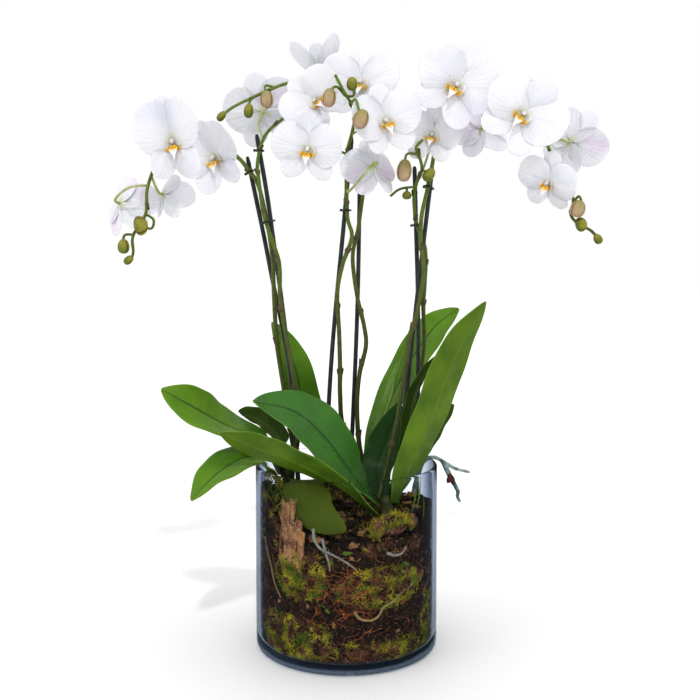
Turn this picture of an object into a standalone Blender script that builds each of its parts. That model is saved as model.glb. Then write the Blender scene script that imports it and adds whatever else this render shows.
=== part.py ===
"""Potted orchid: three moth orchids in a clear glass cylinder, with stakes, clips and open flowers.

Metres, +Z up. The origin is the centre of the vase's foot, on the table. -Y is the front.
Routes and places are written in millimetres, because they read better, and mm() turns them to metres.
"""
from math import cos, exp, pi, radians, sin, sqrt

import bmesh
import bpy
from mathutils import Matrix, Vector

OBJECT_NAME = "potted_orchid"

# Glass cylinder vase
VASE_RADIUS = 0.100
VASE_HEIGHT = 0.200
VASE_WALL = 0.0045
VASE_FLOOR = 0.010
VASE_FOOT_ROUND = 0.006
VASE_STEPS = 48

# Potting mix: its level, and the banks on it as place, rise and spread
MIX_LEVEL = 0.138
MIX_BANKS = [
    {"x": -0.090, "y": -0.020, "rise": 0.044, "spread": 0.0283},
    {"x": 0.086, "y": -0.010, "rise": 0.024, "spread": 0.0316},
    {"x": 0.000, "y": 0.075, "rise": 0.030, "spread": 0.0671},
    {"x": -0.005, "y": -0.095, "rise": -0.014, "spread": 0.0400},
]
MIX_BUMP = 0.0018
MIX_AROUND = 32
SLAB_SIZE = (0.015, 0.010, 0.062)
SLAB_PLACE = (-0.061, -0.063, 0.128)
SLAB_TURN = -36
SLAB_EDGE = 0.0015
MOUND_SIZE = (0.024, 0.0125, 0.014)     # half its width, depth and height
MOUND_PLACE = (0.047, -0.066, 0.147)
MOUND_TURN = 34

# Plants
LEAF_THICKNESS = 0.0018
LEAF_BASE_WIDTH = 0.28          # share of the full width that is left at the crown
LEAF_TIP_WIDTH = 0.12           # share of the full width that is left at the tip
LEAF_WIDEST = 0.6               # share of the length at which a leaf is widest
LEAF_STATIONS = 9
CLASP_SHARE = 0.3               # share of a leaf that turns from its clasp to its own face
LEAF_ACROSS = 4
CROWN_RADIUS = 0.0075
CROWN_DEPTH = 0.022             # how far a crown is planted in the mix
SPIKE_RADIUS = 0.0025
SPIKE_TIP_RADIUS = 0.0014
PEDICEL_RADIUS = 0.0013
STALK_STRAIGHT = 0.008          # how far a flower stalk runs straight behind its flower
FLOWER_SPAN = 0.094             # petal tip to petal tip of a fully open flower
FLOWER_HEART = 0.16             # share of the span that the notches between petals reach
FLOWER_POINTS = 30
PETAL_THICKNESS = 0.0012
LIP_SIZE = (0.0065, 0.0085, 0.0060)     # half its width, depth and height
LIP_PLACE = (0.0, -0.0070, -0.0060)

# Support
STAKE_RADIUS = 0.0024
CLIP_WIRE = 0.0009
CLIP_ROOM = 0.0010              # slack inside a clip
CLIP_STEPS = 16
CLIP_TAB = (0.0045, 0.0016, 0.0011)
GAP = 0.0004                    # clearance between pieces that touch

COLOURS = {
    "glass": ((0.80, 0.86, 0.88), 0.05, 0.0),
    "mix": ((0.09, 0.05, 0.03), 0.95, 0.0),
    "moss": ((0.24, 0.26, 0.04), 0.95, 0.0),
    "bark": ((0.20, 0.10, 0.05), 0.9, 0.0),
    "leaf": ((0.10, 0.30, 0.03), 0.4, 0.0),
    "crown": ((0.12, 0.22, 0.04), 0.6, 0.0),
    "spike": ((0.12, 0.24, 0.05), 0.5, 0.0),
    "petal": ((0.90, 0.90, 0.92), 0.6, 0.0),
    "stake": ((0.03, 0.035, 0.04), 0.6, 0.0),
    "clip": ((0.01, 0.01, 0.01), 0.5, 0.0),
    "root": ((0.45, 0.55, 0.48), 0.8, 0.0),
}

# Each crown: foot on the mix, height, and how far the top leans from the foot
CROWNS = {
    "left": {"place": (-66, 4, 160), "top": (-64, 3, 194)},
    "right": {"place": (44, -40, 136), "top": (43, -40, 172)},
    "back": {"place": (16, 46, 158), "top": (15, 46, 192)},
}

# Each leaf leaves its crown at the first height. The route is its midrib, face is the way that its
# upper side looks at the base and at the tip, and fold is the depth of the V along the midrib.
LEAVES = {
    "leaf_left_upper": {
        "crown": "left", "height": 186, "width": 58, "fold": 0.20,
        "route": [(-96, -2, 224), (-133, -20, 245), (-162, -34, 265), (-195, -45, 287)],
        "face": [(0.1, -0.3, 1.0), (-0.2, -0.8, 0.6)]},
    "leaf_left_lower": {
        "crown": "left", "height": 172, "width": 52, "fold": 0.18,
        "route": [(-90, -15, 200), (-107, -29, 211), (-135, -58, 199), (-158, -84, 178)],
        "face": [(0.2, -0.2, 1.0), (-0.5, -0.6, 0.6)]},
    "leaf_front_long": {
        "crown": "right", "height": 150, "width": 42, "fold": 0.18,
        "route": [(-10, -64, 190), (-58, -75, 217), (-94, -80, 232), (-129, -84, 247)],
        "face": [(0.35, 0.65, 0.7), (0.1, 0.85, 0.5)]},
    "leaf_front_broad": {
        "crown": "right", "height": 162, "width": 64, "fold": 0.14,
        "route": [(6, -46, 197), (-22, -52, 236), (-54, -60, 265), (-96, -70, 278)],
        "face": [(0.5, -0.7, 0.7), (-0.2, -0.6, 0.8)]},
    "leaf_left_back": {
        "crown": "left", "height": 181, "width": 38, "fold": 0.15,
        "route": [(-74, 33, 219), (-95, 39, 239), (-124, 46, 251)],
        "face": [(0.3, 0.6, 0.7), (-0.1, 0.75, 0.6)]},
    "leaf_back_upright": {
        "crown": "back", "height": 176, "width": 42, "fold": 0.20,
        "route": [(-14, 64, 200), (-46, 56, 246), (-62, 50, 308), (-85, 50, 353)],
        "face": [(0.1, -1.0, 0.4), (0.3, -0.9, 0.3)]},
    "leaf_in_vase": {
        "crown": "left", "height": 178, "width": 44, "fold": -0.25,
        "route": [(-52, -40, 189), (-43, -64, 184), (-28, -76, 162), (0, -80, 145)],
        "face": [(-0.1, -0.2, 1.0), (-0.1, -0.95, 0.1)]},
    "leaf_right_tall": {
        "crown": "right", "height": 166, "width": 50, "fold": 0.14,
        "route": [(64, -50, 200), (90, -40, 257), (118, -22, 322), (152, -5, 378)],
        "face": [(-0.5, 0.8, 0.4), (-0.5, 0.9, 0.2)]},
    "leaf_right_under": {
        "crown": "right", "height": 160, "width": 28, "fold": 0.16,
        "route": [(70, -17, 196), (94, -15, 232), (117, -10, 266)],
        "face": [(-0.5, 0.7, 0.5), (-0.5, 0.8, 0.3)]},
    "leaf_back_right": {
        "crown": "back", "height": 180, "width": 50, "fold": 0.16,
        "route": [(44, 70, 240), (74, 82, 300), (105, 88, 344), (134, 92, 366)],
        "face": [(-0.6, -0.7, 0.4), (-0.5, -0.7, 0.5)]},
    "leaf_middle_narrow": {
        "crown": "back", "height": 170, "width": 26, "fold": 0.22,
        "route": [(31, 30, 212), (43, 33, 250), (55, 38, 288), (65, 44, 319)],
        "face": [(-0.8, -0.3, 0.5), (-1.0, -0.2, 0.2)]},
    "leaf_right_broad": {
        "crown": "right", "height": 162, "width": 38, "fold": 0.12,
        "route": [(34, 8, 190), (45, 18, 222), (60, 21, 264)],
        "face": [(0.0, -1.0, 0.6), (0.1, -1.0, 0.1)]},
    "leaf_back_small": {
        "crown": "right", "height": 171, "width": 22, "fold": 0.15,
        "route": [(60, -16, 206), (69, 2, 250), (79, 13, 285), (101, 18, 317)],
        "face": [(-0.5, 0.75, 0.45), (-0.6, 0.6, 0.5)]},
}

# Charcoal plant stakes, from the foot in the mix to the top
STAKES = {
    "stake_left_front": [(-46, -4, 40), (-59, -4, 272), (-82, -4, 465), (-97, -5, 559)],
    "stake_left_back": [(-50, 14, 40), (-60, 14, 270), (-85, 14, 417), (-109, 12, 537)],
    "stake_centre_front": [(-30, 20, 40), (-18, 16, 293), (-3, 12, 462), (6, 9, 558)],
    "stake_centre_back": [(-2, 42, 40), (9, 42, 281), (13, 42, 393), (15, 42, 507)],
    "stake_right_back": [(80, 28, 40), (81, 28, 332), (78, 28, 463), (76, 27, 528)],
    "stake_right_front": [(34, 6, 40), (60, 6, 222), (77, 8, 372), (95, 12, 528)],
}

# Flower spikes. Side shoots start on the stem; each one ends at a flower, a bud or bare.
SPIKES = {
    "spike_left_front": {
        "stem": [(-62, -8, 189), (-52, -13, 238), (-58, -13, 300), (-71, -13, 376), (-73, -13, 421),
                 (-88, -13, 469), (-94, -14, 509), (-95, -14, 530), (-87, -16, 556), (-68, -16, 574),
                 (-50, -13, 583)],
        "shoots": {"flower_05": [(-88, -16, 553), (-94, -11, 565)],
                   "flower_08": [(-68, -16, 574), (-49, -26, 572)],
                   "flower_06": [(-53, -13, 582), (-38, -22, 588)]},
        "buds": []},
    "spike_left_back": {
        "stem": [(-55, 7, 189), (-62, 5, 235), (-68, 5, 273), (-77, 5, 335), (-80, 5, 394),
                 (-82, 5, 435), (-95, 5, 501), (-108, 3, 523), (-118, 4, 535), (-137, 12, 550),
                 (-158, 14, 562), (-177, 6, 564), (-192, -12, 552), (-199, -32, 529),
                 (-205, -56, 497), (-205, -66, 470), (-218, -66, 448), (-218, -66, 431)],
        "shoots": {"flower_01": [(-172, 9, 564), (-180, -18, 556)],
                   "flower_02": [(-140, 13, 552), (-146, 2, 549)],
                   "flower_03": [(-205, -55, 500), (-220, -62, 498), (-232, -58, 492)],
                   "flower_04": [(-200, -36, 525), (-203, -44, 512)]},
        "buds": [{"shoot": [(-205, -66, 470), (-197, -66, 464), (-199, -68, 455)],
                  "place": (-209, -71, 458), "size": (20, 13, 14), "turn": 80},
                 {"shoot": [(-217, -66, 449), (-227, -66, 448)],
                  "place": (-228, -66, 437), "size": (12, 12, 15), "turn": 0},
                 {"shoot": [(-218, -66, 434), (-219, -66, 427)],
                  "place": (-223, -66, 423), "size": (8, 8, 11), "turn": 50}]},
    "spike_centre_front": {
        "stem": [(11, 36, 187), (-4, 20, 236), (-7, 9, 275), (-7, 6, 305), (-8, 4, 344), (-10, 3, 387),
                 (-4, 3, 419), (6, 2, 449), (1, 1, 472), (0, 0, 522), (1, 0, 541), (6, -4, 560),
                 (9, -20, 573), (8, -40, 578), (5, -54, 584), (-3, -68, 595), (-11, -74, 609)],
        "shoots": {"flower_09": [(1, 0, 500), (3, -26, 496), (14, -44, 507), (27, -42, 522)],
                   "flower_10": [(6, -4, 559), (20, -12, 566)]},
        "buds": [{"shoot": [(-1, -63, 590), (-9, -68, 598), (-15, -70, 595)],
                  "place": (-17, -70, 587), "size": (14, 14, 19), "turn": 10},
                 {"shoot": [(-1, -62, 590), (7, -62, 590), (8, -63, 596)],
                  "place": (6, -64, 602), "size": (11, 11, 14), "turn": 0},
                 {"shoot": [(5, -54, 584), (10, -74, 584)],
                  "place": (15, -80, 564), "size": (16, 15, 20), "turn": 20},
                 {"shoot": [(1, 0, 538), (-8, -3, 542)], "place": None}]},
    "spike_centre_back": {
        "stem": [(20, 36, 187), (14, 33, 219), (12, 33, 261), (15, 33, 296), (22, 33, 326), (20, 33, 349),
                 (12, 33, 384), (7, 33, 427), (13, 33, 458), (18, 33, 493), (24, 32, 535),
                 (28, 30, 574), (18, 27, 604), (-7, 20, 622), (-34, 6, 622), (-61, -16, 612),
                 (-75, -28, 605), (-97, -34, 594), (-118, -38, 583), (-128, -40, 575)],
        "shoots": {"flower_11": [(16, 27, 606), (15, 16, 613)],
                   "flower_07": [(-12, 18, 623), (-25, 20, 625)]},
        "buds": [{"shoot": [(-75, -28, 605), (-84, -33, 606), (-85, -36, 601)],
                  "place": (-83, -38, 591), "size": (14, 14, 18), "turn": 0},
                 {"shoot": [(-97, -34, 594), (-101, -36, 589)],
                  "place": (-102, -38, 579), "size": (10, 10, 15), "turn": 5},
                 {"shoot": [], "place": (-130, -41, 573), "size": (8, 8, 12), "turn": 40}]},
    "spike_right_back": {
        "stem": [(27, 43, 187), (52, 41, 236), (78, 41, 275), (88, 38, 321), (87, 34, 373), (88, 30, 393),
                 (88, 22, 435), (78, 18, 463), (75, 15, 485), (75, 11, 497), (77, 5, 508), (82, -4, 522),
                 (78, -10, 537), (75, -14, 544), (82, -17, 552)],
        "shoots": {"flower_13": [(78, 4, 509), (86, 17, 527)]},
        "buds": [{"shoot": [(78, -10, 537), (66, -17, 537), (63, -18, 531)],
                  "place": (62, -19, 519), "size": (16, 16, 24), "turn": 5},
                 {"shoot": [(82, -3, 521), (88, -9, 518)],
                  "place": (89, -12, 515), "size": (12, 12, 16), "turn": 40},
                 {"shoot": [(77, 8, 504), (59, 2, 501), (48, -2, 493)], "place": None},
                 {"shoot": [(66, 5, 502), (66, 1, 500)],
                  "place": (66, 0, 494), "size": (10, 9, 9), "turn": 0}]},
    "spike_right_front": {
        "stem": [(35, -34, 168), (43, -24, 198), (54, -16, 244), (66, -5, 315), (69, -3, 339),
                 (76, -3, 361), (84, -3, 404), (83, -3, 429), (81, -2, 443), (82, -1, 471),
                 (88, 1, 498), (93, 5, 522), (99, 15, 550), (109, 20, 576), (124, 17, 592),
                 (144, 10, 598), (170, 2, 595), (195, -6, 580), (211, -12, 557), (221, -18, 532),
                 (230, -24, 512), (236, -40, 494), (237, -46, 481), (234, -48, 470),
                 (241, -50, 461), (254, -50, 454), (261, -50, 447)],
        "shoots": {"flower_12": [(122, 17, 591), (121, 2, 600)],
                   "flower_15": [(184, -2, 588), (187, -26, 578)],
                   "flower_14": [(146, 9, 598), (150, 18, 590)],
                   "flower_16": [(216, -15, 545), (228, -14, 552)],
                   "flower_17": [(226, -21, 521), (228, -32, 516)]},
        "buds": [{"shoot": [(236, -46, 482), (241, -52, 489), (243, -56, 482)],
                  "place": (239, -57, 476), "size": (16, 14, 18), "turn": 20},
                 {"shoot": [], "place": (244, -52, 460), "size": (15, 11, 12), "turn": 75},
                 {"shoot": [], "place": (262, -50, 445), "size": (9, 9, 11), "turn": -30}]},
}

# Flowers: place is where the petals meet, look is the way the flower faces, roll turns it clockwise
# as seen from its front, size is its share of FLOWER_SPAN, cup is how far the petals close, and fold
# is how far the side petals swing forward, in radians.
FLOWERS = {
    "flower_01": {
        "place": (-177, -64, 543), "look": (0.05, -1.0, -0.10),
        "roll": -12, "size": 0.98, "cup": 0.10, "fold": 0.62},
    "flower_02": {
        "place": (-140, -22, 532), "look": (-0.35, -1.0, -0.25),
        "roll": -20, "size": 0.92, "cup": 0.16, "fold": 0.30},
    "flower_03": {
        "place": (-237, -40, 482), "look": (0.35, 0.85, -0.3),
        "roll": 10, "size": 0.76, "cup": 0.34, "fold": 0.35},
    "flower_04": {
        "place": (-193, -30, 492), "look": (0.45, 0.8, -0.3),
        "roll": 0, "size": 0.58, "cup": 0.40, "fold": 0.45},
    "flower_05": {
        "place": (-91, 5, 585), "look": (0.0, 1.0, 0.25),
        "roll": 15, "size": 0.94, "cup": 0.10, "fold": 0.10},
    "flower_06": {
        "place": (-32, -34, 589), "look": (-0.15, -1.0, 0.1),
        "roll": -50, "size": 0.80, "cup": 0.12, "fold": 0.22},
    "flower_07": {
        "place": (-30, 30, 630), "look": (-0.15, 0.30, 0.95),
        "roll": 30, "size": 0.64, "cup": 0.85, "fold": 0.30},
    "flower_08": {
        "place": (-39, -58, 537), "look": (-0.15, -1.0, -0.3),
        "roll": 5, "size": 0.83, "cup": 0.08, "fold": 0.14},
    "flower_09": {
        "place": (30, -18, 523), "look": (-0.35, 0.85, -0.4),
        "roll": 5, "size": 0.76, "cup": 0.16, "fold": 0.35},
    "flower_10": {
        "place": (40, -50, 566), "look": (0.3, -1.0, 0.0),
        "roll": -14, "size": 0.86, "cup": 0.08, "fold": 0.20},
    "flower_11": {
        "place": (15, 2, 614), "look": (-0.1, -1.0, 0.2),
        "roll": 5, "size": 0.95, "cup": 0.08, "fold": 0.26},
    "flower_12": {
        "place": (116, -28, 606), "look": (0.0, -1.0, 0.05),
        "roll": 33, "size": 1.05, "cup": 0.06, "fold": 0.10},
    "flower_13": {
        "place": (93, -4, 558), "look": (-0.2, -1.0, 0.0),
        "roll": 10, "size": 0.74, "cup": 0.12, "fold": 0.28},
    "flower_14": {
        "place": (152, 34, 570), "look": (0.1, 0.9, -0.3),
        "roll": 10, "size": 0.80, "cup": 0.12, "fold": 0.10},
    "flower_15": {
        "place": (182, -56, 572), "look": (-0.1, -1.0, 0.0),
        "roll": 42, "size": 1.00, "cup": 0.06, "fold": 0.10},
    "flower_16": {
        "place": (242, -6, 551), "look": (0.55, 0.8, 0.1),
        "roll": -40, "size": 0.84, "cup": 0.15, "fold": 0.30},
    "flower_17": {
        "place": (211, -46, 504), "look": (-0.65, -0.70, -0.35),
        "roll": 20, "size": 0.74, "cup": -0.05, "fold": 0.10},
}

# Petals and sepals of one flower: angle from the top in degrees, length and half width in degrees
FLOWER_LOBES = [
    {"angle": 0, "length": 0.50, "spread": 34},
    {"angle": 76, "length": 0.50, "spread": 47},
    {"angle": -76, "length": 0.50, "spread": 47},
    {"angle": 142, "length": 0.47, "spread": 33},
    {"angle": -142, "length": 0.47, "spread": 33},
]

# The root that climbs from the mix, over the rim at the right, and forks
ROOT_MAIN = [(72, 8, 148), (77, 8, 172), (85, 7, 198), (97, 4, 205), (110, 1, 199), (121, 0, 193),
             (137, 0, 189)]
ROOT_FORK = [(107, 0, 201), (115, -1, 184), (123, -1, 169), (123, -1, 162), (126, -1, 156)]
ROOT_RADIUS = 0.0021
ROOT_TIP_RADIUS = 0.0013

# Clips: the stake and spike that each one holds together, and its height
CLIPS = [
    {"pair": "left_front", "height": 541},
    {"pair": "left_back", "height": 520},
    {"pair": "left_front", "height": 465},
    {"pair": "centre_front", "height": 526},
    {"pair": "centre_front", "height": 478},
    {"pair": "right_back", "height": 463},
    {"pair": "right_front", "height": 503},
]


def mm(point):
    """Millimetres to metres."""
    return Vector(point) / 1000


def clear_scene():
    for item in list(bpy.data.objects):
        bpy.data.objects.remove(item, do_unlink=True)


def new_collection(name):
    collection = bpy.data.collections.new(name)
    bpy.context.scene.collection.children.link(collection)
    return collection


def make_material(name):
    colour, roughness, metallic = COLOURS[name]
    material = bpy.data.materials.new(name)
    material.use_nodes = True
    shader = material.node_tree.nodes["Principled BSDF"]
    shader.inputs["Base Color"].default_value = (*colour, 1.0)
    shader.inputs["Roughness"].default_value = roughness
    shader.inputs["Metallic"].default_value = metallic
    if name == "glass":
        shader.inputs["Transmission Weight"].default_value = 1.0
    return material


def add_object(name, mesh, collection, material=None):
    item = bpy.data.objects.new(name, mesh)
    collection.objects.link(item)
    if material:
        mesh.materials.clear()
        mesh.materials.append(material)
    return item


def mesh_from(bm, name):
    bmesh.ops.recalc_face_normals(bm, faces=bm.faces)
    mesh = bpy.data.meshes.new(name)
    bm.to_mesh(mesh)
    bm.free()
    return mesh


def smooth_path(points, count):
    """Points spread along a smooth curve through the given ones."""
    line = [points[0] * 2 - points[1], *points, points[-1] * 2 - points[-2]]
    path = []
    for step in range(count):
        along = step / (count - 1) * (len(points) - 1)
        index = min(int(along), len(points) - 2)
        t = along - index
        a, b, c, d = line[index:index + 4]
        path.append(0.5 * (2 * b + (c - a) * t + (2 * a - 5 * b + 4 * c - d) * t * t
                           + (3 * b - a - 3 * c + d) * t ** 3))
    return path


def tube_mesh(name, points, radius, end_radius, sides=6, steps=2):
    """A closed tube along a smooth route, as a bevelled curve made into a mesh."""
    curve = bpy.data.curves.new(name, "CURVE")
    curve.dimensions = "3D"
    curve.bevel_depth = 1.0
    curve.bevel_resolution = (sides - 4) // 2
    curve.use_fill_caps = True
    path = smooth_path(points, (len(points) - 1) * steps + 1)
    spline = curve.splines.new("POLY")
    spline.points.add(len(path) - 1)
    for index, (spot, place) in enumerate(zip(spline.points, path)):
        spot.co = (*place, 1.0)
        spot.radius = radius + (end_radius - radius) * index / (len(path) - 1)
    holder = bpy.data.objects.new(name, curve)
    bpy.context.scene.collection.objects.link(holder)
    depsgraph = bpy.context.evaluated_depsgraph_get()
    mesh = bpy.data.meshes.new_from_object(holder.evaluated_get(depsgraph))
    bpy.data.objects.remove(holder, do_unlink=True)
    bm = bmesh.new()
    bm.from_mesh(mesh)
    bmesh.ops.remove_doubles(bm, verts=bm.verts, dist=0.00001)
    bmesh.ops.recalc_face_normals(bm, faces=bm.faces)
    bm.to_mesh(mesh)
    bm.free()
    return mesh


def boolean(target, tool_mesh, operation):
    """Join or cut target with one closed mesh, by the exact solver, and keep the result."""
    tool = bpy.data.objects.new("tool", tool_mesh)
    tool.hide_render = True
    tool.display_type = "WIRE"
    TOOLS.objects.link(tool)
    modifier = target.modifiers.new("boolean", "BOOLEAN")
    modifier.operation = operation
    modifier.solver = "EXACT"
    modifier.use_self = operation == "UNION"
    modifier.object = tool
    depsgraph = bpy.context.evaluated_depsgraph_get()
    result = bpy.data.meshes.new_from_object(target.evaluated_get(depsgraph))
    target.modifiers.clear()
    target.data = result
    bpy.data.objects.remove(tool, do_unlink=True)


def make_vase(collection, material):
    inner = VASE_RADIUS - VASE_WALL
    lip = VASE_WALL / 4
    foot = VASE_FOOT_ROUND
    profile = [(0.0, 0.0)]
    for step in range(4):
        angle = pi / 2 * step / 3
        profile.append((VASE_RADIUS - foot + foot * sin(angle), foot - foot * cos(angle)))
    profile += [(VASE_RADIUS, VASE_HEIGHT - lip), (VASE_RADIUS - lip, VASE_HEIGHT),
                (inner + lip, VASE_HEIGHT), (inner, VASE_HEIGHT - lip)]
    profile += [(inner, VASE_FLOOR + foot), (inner - foot * 0.3, VASE_FLOOR + foot * 0.3),
                (inner - foot, VASE_FLOOR), (0.0, VASE_FLOOR)]
    bm = bmesh.new()
    verts = [bm.verts.new((x, 0.0, z)) for x, z in reversed(profile)]
    for first, second in zip(verts, verts[1:]):
        bm.edges.new((first, second))
    mesh = bpy.data.meshes.new("glass_vase")
    bm.to_mesh(mesh)
    bm.free()
    vase = add_object("glass_vase", mesh, collection, material)
    screw = vase.modifiers.new("turn", "SCREW")
    screw.steps = VASE_STEPS
    screw.render_steps = VASE_STEPS
    screw.use_merge_vertices = True
    screw.merge_threshold = 0.00005
    return vase


def mix_height(x, y):
    """Height of the potting mix: banked up at the left, low at the front and in the middle."""
    height = MIX_LEVEL + MIX_BUMP * sin(x * 180 + 1.0) * cos(y * 160)
    for bank in MIX_BANKS:
        away = ((x - bank["x"]) ** 2 + (y - bank["y"]) ** 2) / bank["spread"] ** 2
        height += bank["rise"] * exp(-away)
    return height


def make_mix(collection, material):
    """One solid of bark and moss that fills the lower vase, with sockets for what stands in it."""
    outer = VASE_RADIUS - VASE_WALL - GAP
    foot = VASE_FOOT_ROUND + GAP
    bm = bmesh.new()
    rings = []
    levels = [(outer * share, None) for share in (0.25, 0.5, 0.72, 0.9, 1.0)]
    levels += [(outer, VASE_FLOOR + foot), (outer - foot, VASE_FLOOR + GAP)]
    for radius, height in levels:
        ring = []
        for step in range(MIX_AROUND):
            angle = 2 * pi * step / MIX_AROUND
            x, y = radius * cos(angle), radius * sin(angle)
            ring.append(bm.verts.new((x, y, mix_height(x, y) if height is None else height)))
        rings.append(ring)
    for upper, lower in zip(rings, rings[1:]):
        for step in range(MIX_AROUND):
            after = (step + 1) % MIX_AROUND
            bm.faces.new((upper[step], upper[after], lower[after], lower[step]))
    bm.faces.new(rings[-1])
    centre = bm.verts.new((0.0, 0.0, mix_height(0.0, 0.0)))
    for step in range(MIX_AROUND):
        bm.faces.new((centre, rings[0][(step + 1) % MIX_AROUND], rings[0][step]))
    bmesh.ops.triangulate(bm, faces=bm.faces)
    mix = add_object("potting_mix", mesh_from(bm, "potting_mix"), collection, material)
    for route in STAKES.values():
        foot_point, top_point = mm(route[0]), mm(route[1])
        below = foot_point - (top_point - foot_point).normalized() * GAP
        boolean(mix, tube_mesh("socket", [below, *map(mm, route[1:])], STAKE_RADIUS + GAP,
                               STAKE_RADIUS + GAP), "DIFFERENCE")
    for crown in CROWNS.values():
        foot_point, top_point = mm(crown["place"]), mm(crown["top"])
        foot_point.z -= CROWN_DEPTH + GAP
        boolean(mix, tube_mesh("socket", [foot_point, top_point], CROWN_RADIUS + GAP,
                               CROWN_RADIUS + GAP, sides=8, steps=1), "DIFFERENCE")
    foot_point, top_point = mm(ROOT_MAIN[0]), mm(ROOT_MAIN[1])
    foot_point += (foot_point - top_point).normalized() * GAP
    boolean(mix, tube_mesh("socket", [foot_point, top_point], ROOT_RADIUS + GAP, ROOT_RADIUS + GAP,
                           steps=1), "DIFFERENCE")
    boolean(mix, slab_mesh("socket", GAP), "DIFFERENCE")
    boolean(mix, mound_mesh("socket", GAP), "DIFFERENCE")
    mix.data.materials.clear()
    mix.data.materials.append(material)
    return mix


def slab_mesh(name, grow=0.0):
    """A piece of bark that stands upright behind the glass, at the left of the front."""
    bm = bmesh.new()
    size = Vector(SLAB_SIZE) + Vector((grow, grow, grow)) * 2
    bmesh.ops.create_cube(bm, size=1.0, matrix=Matrix.Diagonal((*size, 1.0)))
    bmesh.ops.bevel(bm, geom=bm.edges, offset=SLAB_EDGE, segments=1, profile=0.5, affect="EDGES",
                    material=-1)
    turn = Matrix.Rotation(radians(SLAB_TURN), 4, "Z")
    bmesh.ops.transform(bm, matrix=Matrix.Translation(SLAB_PLACE) @ turn, verts=bm.verts)
    return mesh_from(bm, name)


def mound_mesh(name, grow=0.0):
    """The tuft of moss on top of the mix, at the right of the front."""
    bm = bmesh.new()
    size = Vector(MOUND_SIZE) + Vector((grow, grow, grow))
    bmesh.ops.create_icosphere(bm, subdivisions=2, radius=1.0, matrix=Matrix.Diagonal((*size, 1.0)))
    turn = Matrix.Rotation(radians(MOUND_TURN), 4, "Z")
    bmesh.ops.transform(bm, matrix=Matrix.Translation(MOUND_PLACE) @ turn, verts=bm.verts)
    return mesh_from(bm, name)


def make_crowns(collection, material):
    for name, crown in CROWNS.items():
        foot_point, top_point = mm(crown["place"]), mm(crown["top"])
        foot_point.z -= CROWN_DEPTH
        mesh = tube_mesh("crown_" + name, [foot_point, top_point], CROWN_RADIUS,
                         CROWN_RADIUS * 0.8, sides=8, steps=1)
        add_object("crown_" + name, mesh, collection, material)


def leaf_width(t):
    """Share of the full width at t along the leaf: narrow at the crown, blunt at the tip."""
    if t < LEAF_WIDEST:
        return LEAF_BASE_WIDTH + (1 - LEAF_BASE_WIDTH) * sin(pi / 2 * t / LEAF_WIDEST) ** 1.2
    past = (t - LEAF_WIDEST) / (1 - LEAF_WIDEST)
    return max(LEAF_TIP_WIDTH, sqrt(max(0.0, 1 - past ** 2.2)))


def leaf_start(leaf):
    """Where the midrib leaves the side of its crown, towards the leaf's own route."""
    crown = CROWNS[leaf["crown"]]
    foot_point, top_point = mm(crown["place"]), mm(crown["top"])
    height = leaf["height"] / 1000
    share = (height - foot_point.z) / (top_point.z - foot_point.z)
    axis = foot_point.lerp(top_point, share)
    away = mm(leaf["route"][0]) - axis
    away.z = 0.0
    return axis + away.normalized() * (CROWN_RADIUS + LEAF_THICKNESS + GAP)


def leaf_face(leaf, t):
    """The way the upper side looks: towards the crown where the leaf clasps it, then the given ways."""
    crown = CROWNS[leaf["crown"]]
    inward = mm(crown["top"]) - mm(leaf["route"][0])
    inward.z = 0.0
    clasp = inward.normalized() + Vector((0, 0, 0.5))
    base, tip = (Vector(way).normalized() for way in leaf["face"])
    if t < CLASP_SHARE:
        return clasp.lerp(base, t / CLASP_SHARE)
    return base.lerp(tip, (t - CLASP_SHARE) / (1 - CLASP_SHARE))


def make_leaf(name, leaf, collection, material):
    points = [leaf_start(leaf), *map(mm, leaf["route"])]
    path = smooth_path(points, LEAF_STATIONS)
    half = leaf["width"] / 2000
    bm = bmesh.new()
    rows = []
    for index, place in enumerate(path):
        t = index / (LEAF_STATIONS - 1)
        ahead = path[min(index + 1, LEAF_STATIONS - 1)] - path[max(index - 1, 0)]
        face = leaf_face(leaf, t)
        side = ahead.cross(face).normalized()
        up = side.cross(ahead).normalized()
        row = []
        for step in range(LEAF_ACROSS + 1):
            s = 2 * step / LEAF_ACROSS - 1
            reach = half * leaf_width(t)
            rise = leaf["fold"] * abs(s) * reach
            row.append(bm.verts.new(place + side * (s * reach) + up * rise))
        rows.append(row)
    for first, second in zip(rows, rows[1:]):
        for step in range(LEAF_ACROSS):
            bm.faces.new((first[step], first[step + 1], second[step + 1], second[step]))
    mesh = mesh_from(bm, name)
    item = add_object(name, mesh, collection, material)
    solidify = item.modifiers.new("blade", "SOLIDIFY")
    solidify.thickness = LEAF_THICKNESS
    solidify.offset = 0.0
    return item


def flower_frame(flower):
    """Local axes of a flower: it faces -Y, and +Z is its top sepal."""
    look = Vector(flower["look"]).normalized()
    right = look.cross(Vector((0, 0, 1))).normalized() * -1
    top = right.cross(look).normalized() * -1
    turn = Matrix((right, -look, top)).transposed().to_4x4()
    roll = Matrix.Rotation(radians(flower["roll"]), 4, "Y")
    return Matrix.Translation(mm(flower["place"])) @ turn @ roll


def outline(angle):
    """Distance from the middle to the flower's edge at an angle from the top, per unit of span."""
    reach = FLOWER_HEART
    for lobe in FLOWER_LOBES:
        away = (angle - lobe["angle"] + 180) % 360 - 180
        share = abs(away) / lobe["spread"]
        if share < 1:
            reach = max(reach, lobe["length"] * (1 - share ** 2.4) ** 0.6)
    return reach


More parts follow.
